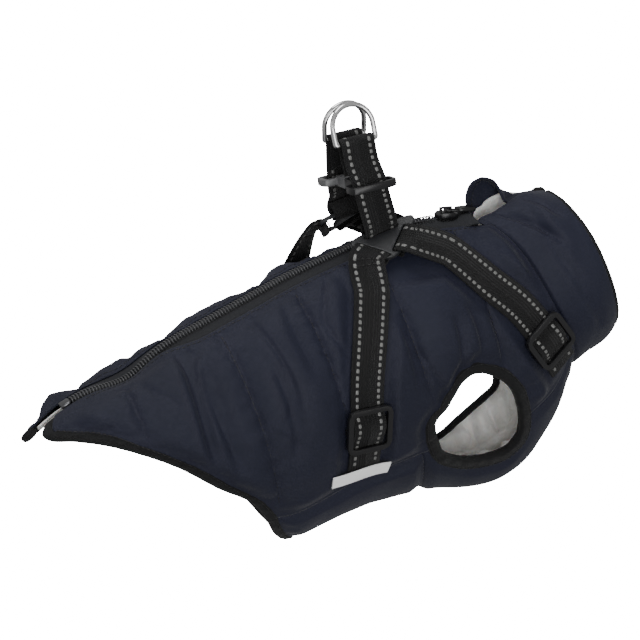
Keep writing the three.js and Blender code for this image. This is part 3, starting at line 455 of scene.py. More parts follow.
def cloth_sheet(name, points, thick, out, keep=None):
    """Thin shell of cloth on a grid of points, thickened inward. out is the outward direction at
    each point, and faces with a point where keep is false are left out."""
    faces = grid_faces(*points.shape[:2])
    facing = np.cross(np.gradient(points, axis=0), np.gradient(points, axis=1))
    if np.sum(facing * out) < 0:
        faces = faces[:, ::-1]
    if keep is not None:
        faces = faces[keep.ravel()[faces].all(axis=1)]
    uv = np.stack([run_length(points, 0), run_length(points, 1)], -1)
    piece = mesh_piece(name, points, faces, uv)
    solid = piece.modifiers.new("thickness", "SOLIDIFY")
    solid.thickness = thick * MM
    solid.offset = -1
    return piece


def add_node(made, kind, **inputs):
    """New node in a material, with named inputs set."""
    node = made.node_tree.nodes.new("ShaderNode" + kind)
    for name, value in inputs.items():
        node.inputs[name].default_value = value
    return node


def join(made, source, target):
    """Joins two sockets of a material."""
    made.node_tree.links.new(source, target)


def surface(name, colour, rough, **sockets):
    """New material with its colour and roughness and any other sockets of the main shader."""
    made = bpy.data.materials.new(name)
    made.use_nodes = True
    shader = made.node_tree.nodes["Principled BSDF"]
    shader.inputs["Base Color"].default_value = (*colour, 1)
    shader.inputs["Roughness"].default_value = rough
    for socket, value in sockets.items():
        shader.inputs[socket.replace("_", " ")].default_value = value
    return made


def bumped(made, height, depth):
    """Adds a bump from a height socket to a material, depth in metres, over any bump it has."""
    shader = made.node_tree.nodes["Principled BSDF"]
    bump = add_node(made, "Bump", Distance=depth, Strength=1.0)
    join(made, height, bump.inputs["Height"])
    if shader.inputs["Normal"].is_linked:
        join(made, shader.inputs["Normal"].links[0].from_socket, bump.inputs["Normal"])
    join(made, bump.outputs["Normal"], shader.inputs["Normal"])
    return made


def grain(made, scale, depth, detail=3, stretch=(1, 1, 1), source="Object"):
    """Adds a bump of uneven grain to a material: scale in grains per unit, depth in metres."""
    place = add_node(made, "TexCoord")
    fit = add_node(made, "Mapping", Scale=stretch)
    noise = add_node(made, "TexNoise", Scale=scale, Detail=detail)
    join(made, place.outputs[source], fit.inputs["Vector"])
    join(made, fit.outputs["Vector"], noise.inputs["Vector"])
    return bumped(made, noise.outputs["Fac"], depth)


def mottle(made, colour_a, colour_b, scale, detail=2):
    """Lets a material's colour wander between two colours in soft patches."""
    place = add_node(made, "TexCoord")
    noise = add_node(made, "TexNoise", Scale=scale, Detail=detail)
    ramp = add_node(made, "ValToRGB")
    ramp.color_ramp.elements[0].position = 0.3
    ramp.color_ramp.elements[1].position = 0.7
    ramp.color_ramp.elements[0].color = (*colour_a, 1)
    ramp.color_ramp.elements[1].color = (*colour_b, 1)
    join(made, place.outputs["Object"], noise.inputs["Vector"])
    join(made, noise.outputs["Fac"], ramp.inputs["Fac"])
    join(made, ramp.outputs["Color"], made.node_tree.nodes["Principled BSDF"].inputs["Base Color"])
    return made


def threads(made, along, across, depth):
    """Adds a weave to a material: two wave patterns at right angles on the piece's own cloth map,
    with their thread pitch along and across in mm."""
    place = add_node(made, "TexCoord")
    both = add_node(made, "Math")
    both.operation = "ADD"
    for k, (direction, pitch) in enumerate((("X", along), ("Y", across))):
        wave = add_node(made, "TexWave", Scale=0.314 / pitch, Distortion=0.5)
        wave.bands_direction = direction
        join(made, place.outputs["UV"], wave.inputs["Vector"])
        join(made, wave.outputs["Fac"], both.inputs[k])
    return bumped(made, both.outputs[0], depth)


def sewn(piece, made, slot, *nodes, body="coat"):
    """Gives a piece its material and body, and hides the CAD solids that it stands for. The slot is
    not used.
    """
    piece.data.materials.append(made)
    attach(piece, body)
    if nodes:
        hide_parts(*nodes)
    return piece


navy = surface("navy_polyester", (0.0106, 0.0119, 0.0246), 0.56, Specular_IOR_Level=0.22,
               Sheen_Weight=0.06, Sheen_Roughness=0.4)
mottle(navy, (0.0088, 0.0101, 0.0212), (0.0124, 0.0139, 0.0284), 11)
threads(grain(navy, 900, 0.00010), 0.5, 0.5, 0.00004)
SHELL_THICK = 1.1
for side, label, rows, cols in ((1, "near", 300, 116), (-1, "far", 230, 88)):
    p, angle = patch(lambda d: band(d) - UNDER_BINDING, lambda d: collar_seam(d) - 0.2,
                     lambda x: side * zip_edge(x, side), lambda x: side * (side_seam(x) - 0.25),
                     rows, cols)
    points = lifted(p, angle, side_height(p, angle, side))
    from_edge = distance_to(ground(p, angle), arm_edges[side])
    clear = ~in_armhole(p, angle) & (from_edge > OFF_ARMHOLE)
    panel = sewn(cloth_sheet(f"side_panel_{label}", points, SHELL_THICK, outward(p, angle), clear),
                 navy, "shell", f"side_{label}")

# Belly and chest panels
# The underside is two plainly padded panels of the same navy cloth, joined by a seam behind the
# front legs. The chest panel carries the lower half of both armholes.
CHEST_SEAM = -31.0
# The panels run under the side panels and each other at this height, by so many degrees or mm.
TUCKED, TUCK_DEGREES, TUCK_AT_CHEST = -1.75, 1.6, 1.2


def under_height(p, angle):
    """Height of the underside: low swells along it, soft rumples, held down at seams, straps, hem
    and armholes."""
    a = folded(angle)
    side = np.where(angle > 180, -1.0, 1.0)
    at = ground(p, angle)
    arc = half_width(p) * np.radians(angle - 180)
    height = (2.6 + 0.7 * np.sin(p / 13) + 0.5 * rumple(p / 12, arc / 16, 71)
              + 0.2 * rumple(p / 5, arc / 6, 72))
    for one in (1, -1):
        here = side == one
        to_arm = np.where(here, distance_to(at, arm_edges[one]), 99)
        height = calmed(height, to_arm, ARMHOLE_BAND[one], 14)
        to_strap = np.where(here, distance_to(at, strap_grounds["chest", one]), 99)
        height = calmed(height, to_strap, 13, 19)
    height = calmed(height, (a - side_seam(p)) * 0.8, 0, 7, AT_SEAM)
    height = calmed(height, np.abs(p - CHEST_SEAM), 0, 7, AT_SEAM)
    to_hem = (p - band(angle)) * 0.9
    height = calmed(height, to_hem, 0, 7, AT_HEM)
    pucker = np.sin(arc / 1.7 + rumple(arc / 14, 0, 73))
    height = height + 0.3 * np.exp(-((to_hem - 3.5) / 3) ** 2) * pucker
    height = calmed(height, collar_seam(angle) - p, 0, 7, AT_SEAM)
    return np.where(a < side_seam(p) + 0.1, TUCKED, height)


for label, low, high, rows, cols, cut, area in (
        ("belly", lambda d: band(d) - UNDER_BINDING, lambda d: CHEST_SEAM - 0.1 + 0 * d, 80, 90,
         (0.090, 0.100), 0.0080),
        ("chest", lambda d: CHEST_SEAM - TUCK_AT_CHEST + 0 * d, lambda d: collar_seam(d) - 0.2,
         110, 90, (0.120, 0.100), 0.0085)):
    p, angle = patch(low, high, lambda x: side_seam(x) - TUCK_DEGREES,
                     lambda x: 360 + TUCK_DEGREES - side_seam(x), rows, cols)
    height = under_height(p, angle)
    if label == "chest":
        height = np.where(p < CHEST_SEAM, TUCKED, height)
    points = lifted(p, angle, height)
    at = ground(p, angle)
    from_edge = np.minimum(distance_to(at, arm_edges[1]), distance_to(at, arm_edges[-1]))
    clear = ~in_armhole(p, angle) & (from_edge > OFF_ARMHOLE)
    panel = sewn(cloth_sheet(f"{label}_cloth", points, SHELL_THICK, outward(p, angle), clear), navy,
                 "shell", f"{label}_panel")

# Collar
# The collar is two halves of the navy cloth that part above the zip. The far half's free corner
# stands up as a rounded flap. Both are sewn in under the side panels.
COLLAR_TUCKED, COLLAR_UNDER = -1.7, 1.1


def collar_edge(p, side=-1):
    """Angle of a collar half's free edge above the zip. The near half reaches nearly to its
    middle."""
    reach = 7 - 4.5 * ease(60, 80, p)
    if side > 0:
        reach = reach * 0.45
    return np.degrees(reach / half_width(p))


def collar_height(p, angle):
    """Height of the collar: one soft roll with slanting folds over it. On the near side two
    creases run down from the zip with a full roll between them, and the far side is flatter near
    the zip."""
    a = folded(angle)
    far = angle < 0
    t = np.clip((p - collar_seam(angle)) / (rim(angle) - collar_seam(angle)), 0, 1)
    rolls = 0.9 * np.sin(11 * t + a / 21) * (1 - ease(60, 110, a)) + 0.5 * rumple(p / 9, a / 17, 41)
    crown = 3.6 * np.sin(math.pi * t) ** 0.7 * np.where(far, 0.3 + 0.7 * ease(15, 60, a), 1)
    height = 0.2 + crown + rolls * np.sin(math.pi * t) + 0.12 * rumple(p / 3, a / 6, 42)
    for turns, places, half, depth, fade in COLLAR_CREASES:
        d = (p - np.interp(a, turns, places)) / half
        d = np.where(d < 0, d / 0.6, d)
        shown = ease(fade, fade - 12, a) * np.where(far, 0.5, ease(2, 15, a))
        height = height - depth * np.exp(-d * d) * shown
    swell = np.exp(-((p - 78 - 0.3 * a) / 9) ** 2) * ease(34, 4, a) * np.where(far, 0, 1)
    tucked = COLLAR_TUCKED + (height - COLLAR_TUCKED) * ease(-0.03, 0.04, t)
    return np.where(t < 0.04, tucked, height) + 1.8 * swell


# The raised corner's free edge. Columns: share of the way from seam to rim, place, height.
CORNER = np.array([(0, 57, -1.5), (0.07, 53.4, 3), (0.15, 51.8, 9), (0.23, 52.6, 14),
                   (0.31, 56, 19), (0.39, 60.5, 21.6), (0.47, 66.5, 22), (0.55, 72.6, 20.8),
                   (0.61, 76.3, 17.7), (0.67, 78, 13.5), (0.73, 78.6, 8.6), (0.79, 79.6, 3),
                   (0.88, 87.5, 0.6), (1, 101.4, -0.4)], float)
# Creases of the collar: angles, places, half width, depth, and the angle at which it has faded.
COLLAR_CREASES = (((0, 9, 22, 36, 49, 70), (65, 69, 76.3, 82.7, 88, 93), 3.2, 2.4, 60),
                  ((0, 5, 16, 26, 40), (84, 85.5, 89.3, 92.9, 97), 3, 1.8, 40),
                  ((60, 80, 100, 130), (84, 88, 92, 99), 4, 1.3, 128))


def collar_points(p, angle, over):
    """Points of a collar half at a height over its own: the near half and the most of the far half
    lie on the ground surface, and the far half's corner is drawn out to its raised free edge."""
    t = np.clip((p - collar_seam(angle)) / (rim(angle) - collar_seam(angle)), 0, 1)
    turned = (1 - ease(4.5, 21, np.abs(angle))) * (angle < 0)
    place = p + turned * (column(CORNER, 1, t) - p)
    height = collar_height(p, angle)
    height = height + turned * (column(CORNER, 2, t) - height)
    return lifted(place, angle, height + over)


def sheet_normals(points, out):
    """Directions square to a grid of points, on the side that out points to."""
    normal = unit(np.cross(np.gradient(points, axis=0), np.gradient(points, axis=1)))
    return normal * np.sign(np.sum(normal * out))


for side, label in SIDES:
    p, angle = patch(lambda d: collar_seam(d) - COLLAR_UNDER, lambda d: rim(d) - 2.6,
                     lambda x: side * collar_edge(x, side), lambda x: side * 179.9 + 0 * x, 70, 240)
    points = collar_points(p, angle, 0)
    half = sewn(cloth_sheet(f"collar_{label}_cloth", points, SHELL_THICK, outward(p, angle)), navy,
                "shell", f"collar_{label}")

# Fleece linings
# White fleece covers the whole inside, in one piece for each side, one for the underside and one
# for each collar half. It is brushed, soft and a little rumpled.
LINING_HEIGHT, LINING_BY_ZIP = -3.2, -0.8
LINING_THICK = 1.0
LINING_OFF_ARMHOLE, LINING_OFF_BAND = 2.6, 1.5
fleece = surface("white_fleece", (0.80, 0.79, 0.76), 0.95, Sheen_Weight=0.5, Sheen_Roughness=0.6,
                 Subsurface_Weight=0.08, Subsurface_Scale=0.002)
mottle(fleece, (0.74, 0.73, 0.70), (0.84, 0.83, 0.81), 60, 4)
grain(grain(fleece, 420, 0.0005, 4), 1600, 0.0003, 2)
# Folds of the underside's fleece by the armholes. Columns: place and angle at both ends, half width
# and rise in mm, all on both sides alike.
FLEECE_FOLDS = ((46, 128, 43, 146, 3.2, 5.5), (29, 130, 26, 143, 2.6, 4.5),
                (14, 134, 12, 146, 2.6, 3.5), (-4, 150, 10, 157, 3, 4.5),
                (10, 157, 46, 155, 3.4, 5.5), (36, 136, 35, 148, 2.6, -5),
                (20, 138, 19, 149, 2.4, -4))


def lining_low(angle):
    """Lower edge of the body linings, just inside the hem binding."""
    return band(angle) + LINING_OFF_BAND


def lining_high(angle):
    """Upper edge of the body linings, at the collar seam."""
    return collar_seam(angle) - 0.4


lining_cuts = (
    ("lining_near", lining_low, lining_high, zip_edge, lambda x: side_seam(x) - 0.4, 300, 120,
     (0.300, 0.125), 0.0250),
    ("lining_far", lining_low, lining_high, lambda x: -zip_edge(x) * (1 - 0.7 * ease(192, 200, -x)),
     lambda x: 0.4 - side_seam(x), 300, 120, (0.300, 0.125), 0.0250),
    ("lining_under", lining_low, lining_high, lambda x: side_seam(x) + 0.4,
     lambda x: 359.6 - side_seam(x), 200, 120, (0.210, 0.100), 0.0155),
    ("collar_lining_near", lambda d: collar_seam(d) + 0.2, lambda d: rim(d) - 2.8,
     lambda x: collar_edge(x, 1) + 0.5, lambda x: 179.7 + 0 * x, 30, 80, (0.135, 0.038), 0.0040),
    ("collar_lining_far", lambda d: collar_seam(d) + 0.2, lambda d: rim(d) - 2.8,
     lambda x: -14 + 0 * x, lambda x: -179.7 + 0 * x, 60, 160, (0.135, 0.045), 0.0042))
for name, low, high, first, last, rows, cols, cut, area in lining_cuts:
    p, angle = patch(low, high, first, last, rows, cols)
    at = ground(p, angle)
    from_edge = np.minimum(distance_to(at, arm_edges[1]), distance_to(at, arm_edges[-1]))
    sag = (4.2 - 5.0 * np.abs(rumple(p / 15, angle / 22, 51)) ** 0.8
           + 0.9 * rumple(p / 5, angle / 8, 54) + 0.08 * rumple(p / 2.5, angle / 4, 52))
    turn = folded(angle)
    for p0, turn0, p1, turn1, half, rise in FLEECE_FOLDS:
        line = np.array([(p0, turn0 * MM_PER_DEGREE), (p1, turn1 * MM_PER_DEGREE)], float)
        to_fold = distance_to(np.stack([p, turn * MM_PER_DEGREE], -1), line)
        sag = sag + rise * np.exp(-(to_fold / half) ** 2)
    sag = np.clip(sag, 0, 7) * ease(3.5, 9, from_edge) * ease(0, 8, p - band(angle))
    sag = sag * ease(0, 6, rim(angle) - p) * (0.25 if name.startswith("collar") else 1)
    depth = LINING_HEIGHT + 0.9 * ease(7, 4, from_edge) - sag
    by_zip = ease(9, 3, half_width(p) * np.radians(folded(angle))) * ease(192, 200, -p)
    depth = depth + by_zip * (LINING_BY_ZIP - depth)
    points = lifted(p, angle, depth)
    if name == "collar_lining_far":
        shell = collar_points(p, angle, 0)
        raised = shell - sheet_normals(shell, outward(p, angle)) * (SHELL_THICK + 0.25)
        share = (1 - ease(18, 26, np.abs(angle)))[..., None]
        points = points + share * (raised - points)
    clear = ~in_armhole(p, angle) & (from_edge > LINING_OFF_ARMHOLE)
    lining = sewn(cloth_sheet(f"{name}_fleece", points, LINING_THICK, outward(p, angle), clear),
                  fleece, "fleece", name)

# Bindings
# Black knitted tape is folded over each raw edge, at the hem, round the armholes and along the
# collar's rim, and pulled in a little by its stitches.
BINDING_SECTION = 20, 0.55, 0.75
binding = surface("black_binding", (0.0062, 0.0064, 0.0070), 0.65, Specular_IOR_Level=0.2,
                  Sheen_Weight=0.05, Sheen_Roughness=0.5)
threads(grain(binding, 700, 0.00012), 0.8, 0.6, 0.00008)


def tube(rings):
    """Faces and points of a closed skin over rings of points, rings[i][j], with flat ends drawn in
    to their middles."""
    n, m = rings.shape[:2]
    ends = [np.repeat(rings[k].mean(axis=0, keepdims=True), m, axis=0) for k in (0, -1)]
    points = np.concatenate([ends[0][None], rings, ends[1][None]])
    return points, grid_faces(n + 2, m, wrap_cols=True)


def faced_out(points, faces):
    """Faces turned so that their skin's volume is positive."""
    a, b, c, d = (points.reshape(-1, 3)[faces[:, k]] for k in range(4))
    volume = np.sum(a * np.cross(b, c)) + np.sum(a * np.cross(c, d))
    return faces if volume > 0 else faces[:, ::-1]


def loop_map(rings):
    """Cloth map of a skin over rings: distance run along it and round it, in mm."""
    closed = np.concatenate([rings, rings[:, :1]], axis=1)
    return np.stack([run_length(rings, 0), run_length(closed, 1)[:, :-1]], -1)


def hose(name, rings, loop=False):
    """Closed piece swept through rings of points, capped or closed on itself."""
    if loop:
        faces = grid_faces(rings.shape[0], rings.shape[1], wrap_rows=True, wrap_cols=True)
        return mesh_piece(name, rings, faced_out(rings, faces), loop_map(rings))
    points, faces = tube(rings)
    return mesh_piece(name, points, faced_out(points, faces), loop_map(points))


def rounded_oblong(count, power_x, power_y):
    """Points round a rounded oblong of half width and half height 1: the cosine and sine of the
    turn, each raised to a power below 1 with its sign kept, which pushes the corners out."""
    a = np.linspace(0, 2 * math.pi, count, endpoint=False)
    return (np.sign(np.cos(a)) * np.abs(np.cos(a)) ** power_x,
            np.sign(np.sin(a)) * np.abs(np.sin(a)) ** power_y)


def edge_binding(name, low, high, first, last, rows, bottom, top, seed):
    """Tape folded over an edge of the coat: its section stretches from curve low to curve high and
    from height bottom to top, and puckers along its length."""
    p, angle = patch(low, high, first, last, 1, rows)
    arc = run_length(ground(p[0], angle[0]), 0)
    wide, high = rounded_oblong(*BINDING_SECTION)
    middle_p, half_p = (p[0] + p[1]) / 2, (p[1] - p[0]) / 2
    pucker = (1 + 0.05 * np.sin(arc / 1.5 + rumple(arc / 12, 0, seed))
              + 0.05 * rumple(arc / 7, 0, seed + 1))
    across = middle_p[:, None] + half_p[:, None] * wide
    turn_of = (angle[0] + angle[1]) / 2
    height = (top + bottom) / 2 + (top - bottom) / 2 * high * pucker[:, None]
    return hose(name, lifted(across, np.repeat(turn_of[:, None], len(wide), axis=1), height))


hem_pieces = (
    ("near", lambda x: zip_edge(x, 1), lambda x: side_seam(x) - 0.25, 260),
    ("far", lambda x: -zip_edge(x), lambda x: 0.25 - side_seam(x), 260),
    ("belly", lambda x: side_seam(x) + 0.35, lambda x: 359.65 - side_seam(x), 160))
for label, first, last, rows in hem_pieces:
    piece = edge_binding(f"hem_tape_{label}", hem, band, first, last, rows, -4.3, 1.0, 61)
    sewn(piece, binding, "binding", f"hem_binding_{label}")
rim_tape = edge_binding("rim_tape", lambda d: rim(d) - 2.9, rim, collar_edge,
                        lambda x: 360 - collar_edge(x), 420, -4.3, 1.2, 63)
sewn(rim_tape, binding, "binding", "rim_binding")


def arm_frame(side, count):
    """Points round an armhole's free edge with the directions away from its middle and outward."""
    rows = arm_rows[side]
    step = run_length(arm_edges[side], 0)
    at = np.linspace(0, step[-1], count, endpoint=False)
    p, a = (np.interp(at, step, rows[:, k]) for k in (0, 1))
    points, out = ground(p, side * a), outward(p, side * a)
    along = unit(np.roll(points, -1, axis=0) - np.roll(points, 1, axis=0))
    away = unit(np.cross(along, out))
    middle = ground(ARMHOLE_MIDDLE[side][0], side * ARMHOLE_MIDDLE[side][1])
    away = away * np.sign(np.sum(away * (points - middle), axis=-1, keepdims=True))
    return points, away, out, at


for side, label in SIDES:
    points, away, out, at = arm_frame(side, 220)
    wide, high = rounded_oblong(*BINDING_SECTION)
    pucker = 1 + 0.05 * np.sin(at / 1.4) + 0.04 * rumple(at / 6, 0, 65)
    across = (ARMHOLE_BAND[side] / 2 * (1 + wide[None]))[..., None] * away[:, None]
    upward = (-1.35 + 3.1 * high * pucker[:, None])[..., None] * out[:, None]
    piece = hose(f"armhole_tape_{label}", points[:, None] + across + upward, loop=True)
    sewn(piece, binding, "binding", f"armhole_binding_{label}")

# Zip
# Two black woven tapes carry one nylon coil down the middle of the back. The slider and its pull
# tab are painted black, and the box at the tail end is plain metal.
ZIP_LOW, ZIP_HIGH = -198.0, 52.0
COIL_FROM, COIL_TO = -196.0, 33.0
TOOTH_PITCH, TOOTH_RADIUS = 1.75, 0.43
SLIDER_AT = 40
tape_black = surface("zip_tape_black", (0.011, 0.012, 0.015), 0.7, Specular_IOR_Level=0.25,
                     Sheen_Weight=0.05)
threads(grain(tape_black, 800, 0.0001), 0.9, 0.7, 0.0001)
for side, label in SIDES:
    p, angle = patch(lambda d: ZIP_LOW + 0 * d, lambda d: ZIP_HIGH + 0 * d,
                     lambda x: side * np.degrees(0.2 / half_width(x)),
                     lambda x: side * np.degrees(TAPE_HALF / half_width(x)), 240, 14)
    height = np.clip(-0.25 + 0.1 * rumple(p / 5, angle / 6, 81), -0.5, 0) + 3.4 * ease(41, 51, p)
    tape = cloth_sheet(f"zip_tape_{label}_cloth", lifted(p, angle, height), 0.6, outward(p, angle))
    sewn(tape, tape_black, "zip_tape", f"zip_tape_{label}")


def rods(paths, radius, count=6):
    """Points and faces of many thin round rods of equal length in points, paths[k][i], each closed
    by rings drawn in to its ends."""
    along = unit(np.gradient(paths, axis=1))
    side_of = unit(np.cross(along, np.array([0.13, 0.31, 0.94])))
    other = np.cross(along, side_of)
    turns = np.linspace(0, 2 * math.pi, count, endpoint=False)[:, None]
    ring = side_of[:, :, None] * np.cos(turns) + other[:, :, None] * np.sin(turns)
    rings = paths[:, :, None] + ring * radius
    ends = [np.repeat(paths[:, k, None, None], count, axis=2) for k in (0, -1)]
    rings = np.concatenate([ends[0], rings, ends[1]], axis=1)
    k, n, m = rings.shape[:3]
    faces = grid_faces(n, m, wrap_cols=True)
    faces = faced_out(rings[0], faces)
    shift = (np.arange(k) * n * m)[:, None, None]
    return rings.reshape(-1, 3), (faces[None] + shift).reshape(-1, 4)


tooth = np.array([(-3.0, 0.55), (-3.15, 1.2), (-2.6, 1.8), (-1.6, 2.1), (-0.7, 2.15), (0.05, 2.2)])
sets = []
for side in (1, -1):
    places = np.arange(COIL_FROM, COIL_TO, TOOTH_PITCH)
    at = lifted(places, 0 * places, 0 * places)
    along = unit(ground(places + 1, 0) - ground(places - 1, 0))
    up = outward(places, 0 * places)
    across = np.array([0, -1.0, 0]) * side
    slant = np.linspace(-0.3, 0.3, len(tooth))
    sets.append(at[:, None] + across * tooth[None, :, :1] * -1 + up[:, None] * tooth[None, :, 1:]
                + along[:, None] * slant[None, :, None])
points, faces = rods(np.concatenate(sets), TOOTH_RADIUS)
nylon = surface("black_nylon", (0.045, 0.046, 0.050), 0.32)
sewn(mesh_piece("zip_teeth", points, faces), grain(nylon, 2500, 0.00003), "zip_tape", "zip_coil")


def softened(node, name, width, made, slot, body="coat"):
    """Copy of a CAD solid with its doubled points merged and its edges rounded by a bevel, in
    mm."""
    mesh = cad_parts[node].data.copy()
    mesh.transform(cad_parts[node].matrix_world)
    mesh.materials.clear()
    work = bmesh.new()
    work.from_mesh(mesh)
    bmesh.ops.remove_doubles(work, verts=work.verts, dist=1e-5)
    bmesh.ops.dissolve_limit(work, angle_limit=math.radians(1), verts=work.verts, edges=work.edges)
    for face in work.faces:
        face.smooth = True
    work.to_mesh(mesh)
    work.free()
    piece = placed(name, mesh)
    bevel = piece.modifiers.new("rounded", "BEVEL")
    bevel.width = width * MM
    bevel.segments = 3
    bevel.limit_method = "ANGLE"
    bevel.angle_limit = math.radians(28)
    bevel.harden_normals = True
    return sewn(piece, made, slot, node, body=body)


paint = surface("black_paint", (0.006, 0.006, 0.007), 0.3, Specular_IOR_Level=0.35)
grain(paint, 1200, 0.00002)
gunmetal = surface("gunmetal", (0.125, 0.126, 0.132), 0.36, Metallic=1.0)
grain(gunmetal, 900, 0.00002)
softened("zip_slider", "zip_slider_body", 0.45, paint, "zip_paint")
softened("zip_pull", "zip_pull_tab", 0.3, paint, "zip_paint", body="zip_pull")


def zip_frame(place):
    """Point on the ground surface under the zip at a place, with the directions along the zip,
    across to the far side and outward."""
    along = unit(ground(place + 3, 0) - ground(place - 3, 0))
    up = unit(outward(place, 0) - along * (outward(place, 0) @ along))
    return ground(place, 0), along, np.cross(up, along), up


def moulded(name, rows, place, origin, turn=0.0):
    """Closed moulded body: rounded oblong sections at distances along the zip, each with its half
    width, low side and high side, turned down a little by an angle about the cross direction at an
    origin."""
    x, half, low, high = np.array(rows, float).T
    flat_y, flat_z = rounded_oblong(24, 0.4, 0.5)
    z = ((low + high) / 2)[:, None] + ((high - low) / 2)[:, None] * flat_z
    y = half[:, None] * flat_y
    x = np.repeat(x[:, None], 24, axis=1)
    x, z = (x * math.cos(turn) + (z - origin) * math.sin(turn),
            origin - x * math.sin(turn) + (z - origin) * math.cos(turn))
    at, along, across, up = zip_frame(place)
    return hose(name, at + x[..., None] * along + y[..., None] * across + z[..., None] * up)


END_BOX_ROWS = ((-3.4, 2.6, 0.1, 1.9), (-3.2, 3.1, -0.3, 2.4), (1.6, 3.2, -0.3, 2.4),
                (2.2, 2.9, -0.1, 2.2), (2.4, 2.3, 0.2, 1.8), (4.6, 2.1, 0.3, 1.6),
                (4.8, 1.8, 0.5, 1.4))
GRIP_ROWS = ((6.4, 2.3, 4.5, 5.4), (6.8, 3.1, 3.9, 6.2), (9, 3.4, 3.7, 6.5), (15, 3.7, 3.7, 6.6),
             (17, 3.4, 3.9, 6.4), (17.6, 2.5, 4.4, 5.8))
GRIP_MIDDLE, GRIP_TURN = 4.9, math.radians(2)
end_box = moulded("zip_end_box", END_BOX_ROWS, ZIP_LOW - 1.5, 0)
sewn(end_box, gunmetal, "zip_metal", "zip_box")
grip = moulded("zip_pull_grip", GRIP_ROWS, SLIDER_AT, GRIP_MIDDLE, GRIP_TURN)
sewn(grip, paint, "zip_paint", body="zip_pull")

# Harness plates
# Two moulded plates of charcoal nylon lie on the withers, each a rounded triangle with a slot
# along every edge for a strap.
plastic = surface("charcoal_nylon", (0.018, 0.019, 0.021), 0.42, Specular_IOR_Level=0.4)
grain(grain(plastic, 1500, 0.00003), 180, 0.00006)
PLATE_BAR, PLATE_SLOT, PLATE_EDGE, PLATE_THICK = 2.2, 2.4, 1.5, 2.6
PLATES = {1: ((-25, -8.5, 7), (11, -10, 18.5), (-9, -27.8, 2)),
          -1: ((-31, 16, 15), (3, 20, 22), (-19, 34.5, 3.5))}
CORNER_BACK, SLOT_HALF, EDGE_ROUND = 12.5, 10.3, 0.7


def plate_flat(corners):
    """A plate in its own plane: origin, the plane's three directions, the outline's corners, and
    each bar's middle, direction along and direction inward. The bars' lines lie a little outside
    the corner triangle."""
    a, b, c = (np.array(v, float) for v in corners)
    x = unit(b - a)
    z = unit(np.cross(x, c - a))
    z = z if z[2] > 0 else -z
    y = np.cross(z, x)
    flat = np.array([((v - a) @ x, (v - a) @ y) for v in (a, b, c)])
    into = unit(flat - np.roll(flat, 1, axis=0))
    off = unit(np.roll(flat, -1, axis=0) - flat)
    half = np.arccos(np.clip(-np.sum(into * off, axis=1), -1, 1)) / 2
    line = flat + unit(into - off) * (PLATE_EDGE / np.sin(half))[:, None]
    outline = flat + unit(into - off) * ((PLATE_EDGE + PLATE_BAR / 2) / np.sin(half))[:, None]
    need = (1.5 + (PLATE_BAR / 2 + PLATE_SLOT) * np.cos(2 * half)) / np.sin(2 * half)
    after = np.roll(line, -1, axis=0)
    e = unit(after - line)
    span = np.linalg.norm(after - line, axis=1)
    middle = line + e * ((need + span - np.roll(need, -1)) / 2)[:, None]
    inward = np.stack([-e[:, 1], e[:, 0]], -1)
    inward = inward * np.sign(np.sum(inward * (flat.mean(axis=0) - middle), axis=1))[:, None]
    return a, (x, y, z), outline, middle, e, inward


def plate_edges(corners):
    """Bars of a plate's three edges, for lead, chest and belly strap: middle, direction along,
    direction out of the plate and upward."""
    a, (x, y, z), _, middle, e, inward = plate_flat(corners)
    frame_of = np.stack([x, y])
    return [(a + middle[k] @ frame_of, e[k] @ frame_of, -inward[k] @ frame_of, z) for k in range(3)]


def plate_piece(name, corners):
    """Plate as a filled flat outline with three slots, given a thickness and round edges: each
    corner is a curve through squared weights of two edge points and the corner, each slot a
    rounded oblong."""
    a, (x, y, z), outline, middle, e, inward = plate_flat(corners)
    t = np.linspace(0, 1, 14)[:, None]
    ring = []
    for k in range(3):
        p0 = outline[k] + unit(outline[k - 1] - outline[k]) * CORNER_BACK
        p1 = outline[k] + unit(outline[(k + 1) % 3] - outline[k]) * CORNER_BACK
        ring.append((1 - t) ** 2 * p0 + 2 * t * (1 - t) * outline[k] + t**2 * p1)
    loops = [np.concatenate(ring)]
    u, v = rounded_oblong(40, 0.25, 0.5)
    u, v = u * SLOT_HALF, v * PLATE_SLOT / 2
    for k in range(3):
        at = middle[k] + inward[k] * (PLATE_BAR + PLATE_SLOT) / 2
        loops.append(at + u[:, None] * e[k] + v[:, None] * inward[k])
    curve = bpy.data.curves.new(name, "CURVE")
    curve.dimensions = "2D"
    curve.fill_mode = "BOTH"
    curve.extrude = (PLATE_THICK / 2 - EDGE_ROUND) * MM
    curve.bevel_depth = EDGE_ROUND * MM
    curve.bevel_resolution = 3
    curve.offset = -EDGE_ROUND * MM
    for loop in loops:
        spline = curve.splines.new("POLY")
        spline.points.add(len(loop) - 1)
        none = 0 * loop[:, 0]
        spline.points.foreach_set("co", np.column_stack([loop * MM, none, none + 1]).ravel())
        spline.use_cyclic_u = True
    drawn = bpy.data.objects.new(name, curve)
    mesh = bpy.data.meshes.new_from_object(drawn)
    bpy.data.objects.remove(drawn)
    mesh.transform(Matrix((x, y, z)).transposed().to_4x4())
    mesh.transform(Matrix.Translation(a * MM))
    work = bmesh.new()
    work.from_mesh(mesh)
    bmesh.ops.remove_doubles(work, verts=work.verts, dist=1e-6)
    bmesh.ops.recalc_face_normals(work, faces=work.faces)
    work.to_mesh(mesh)
    work.free()
    return placed(name, mesh)


for side, label in SIDES:
    sewn(plate_piece(f"harness_plate_{label}", PLATES[side]), plastic, "plastic", f"plate_{label}")

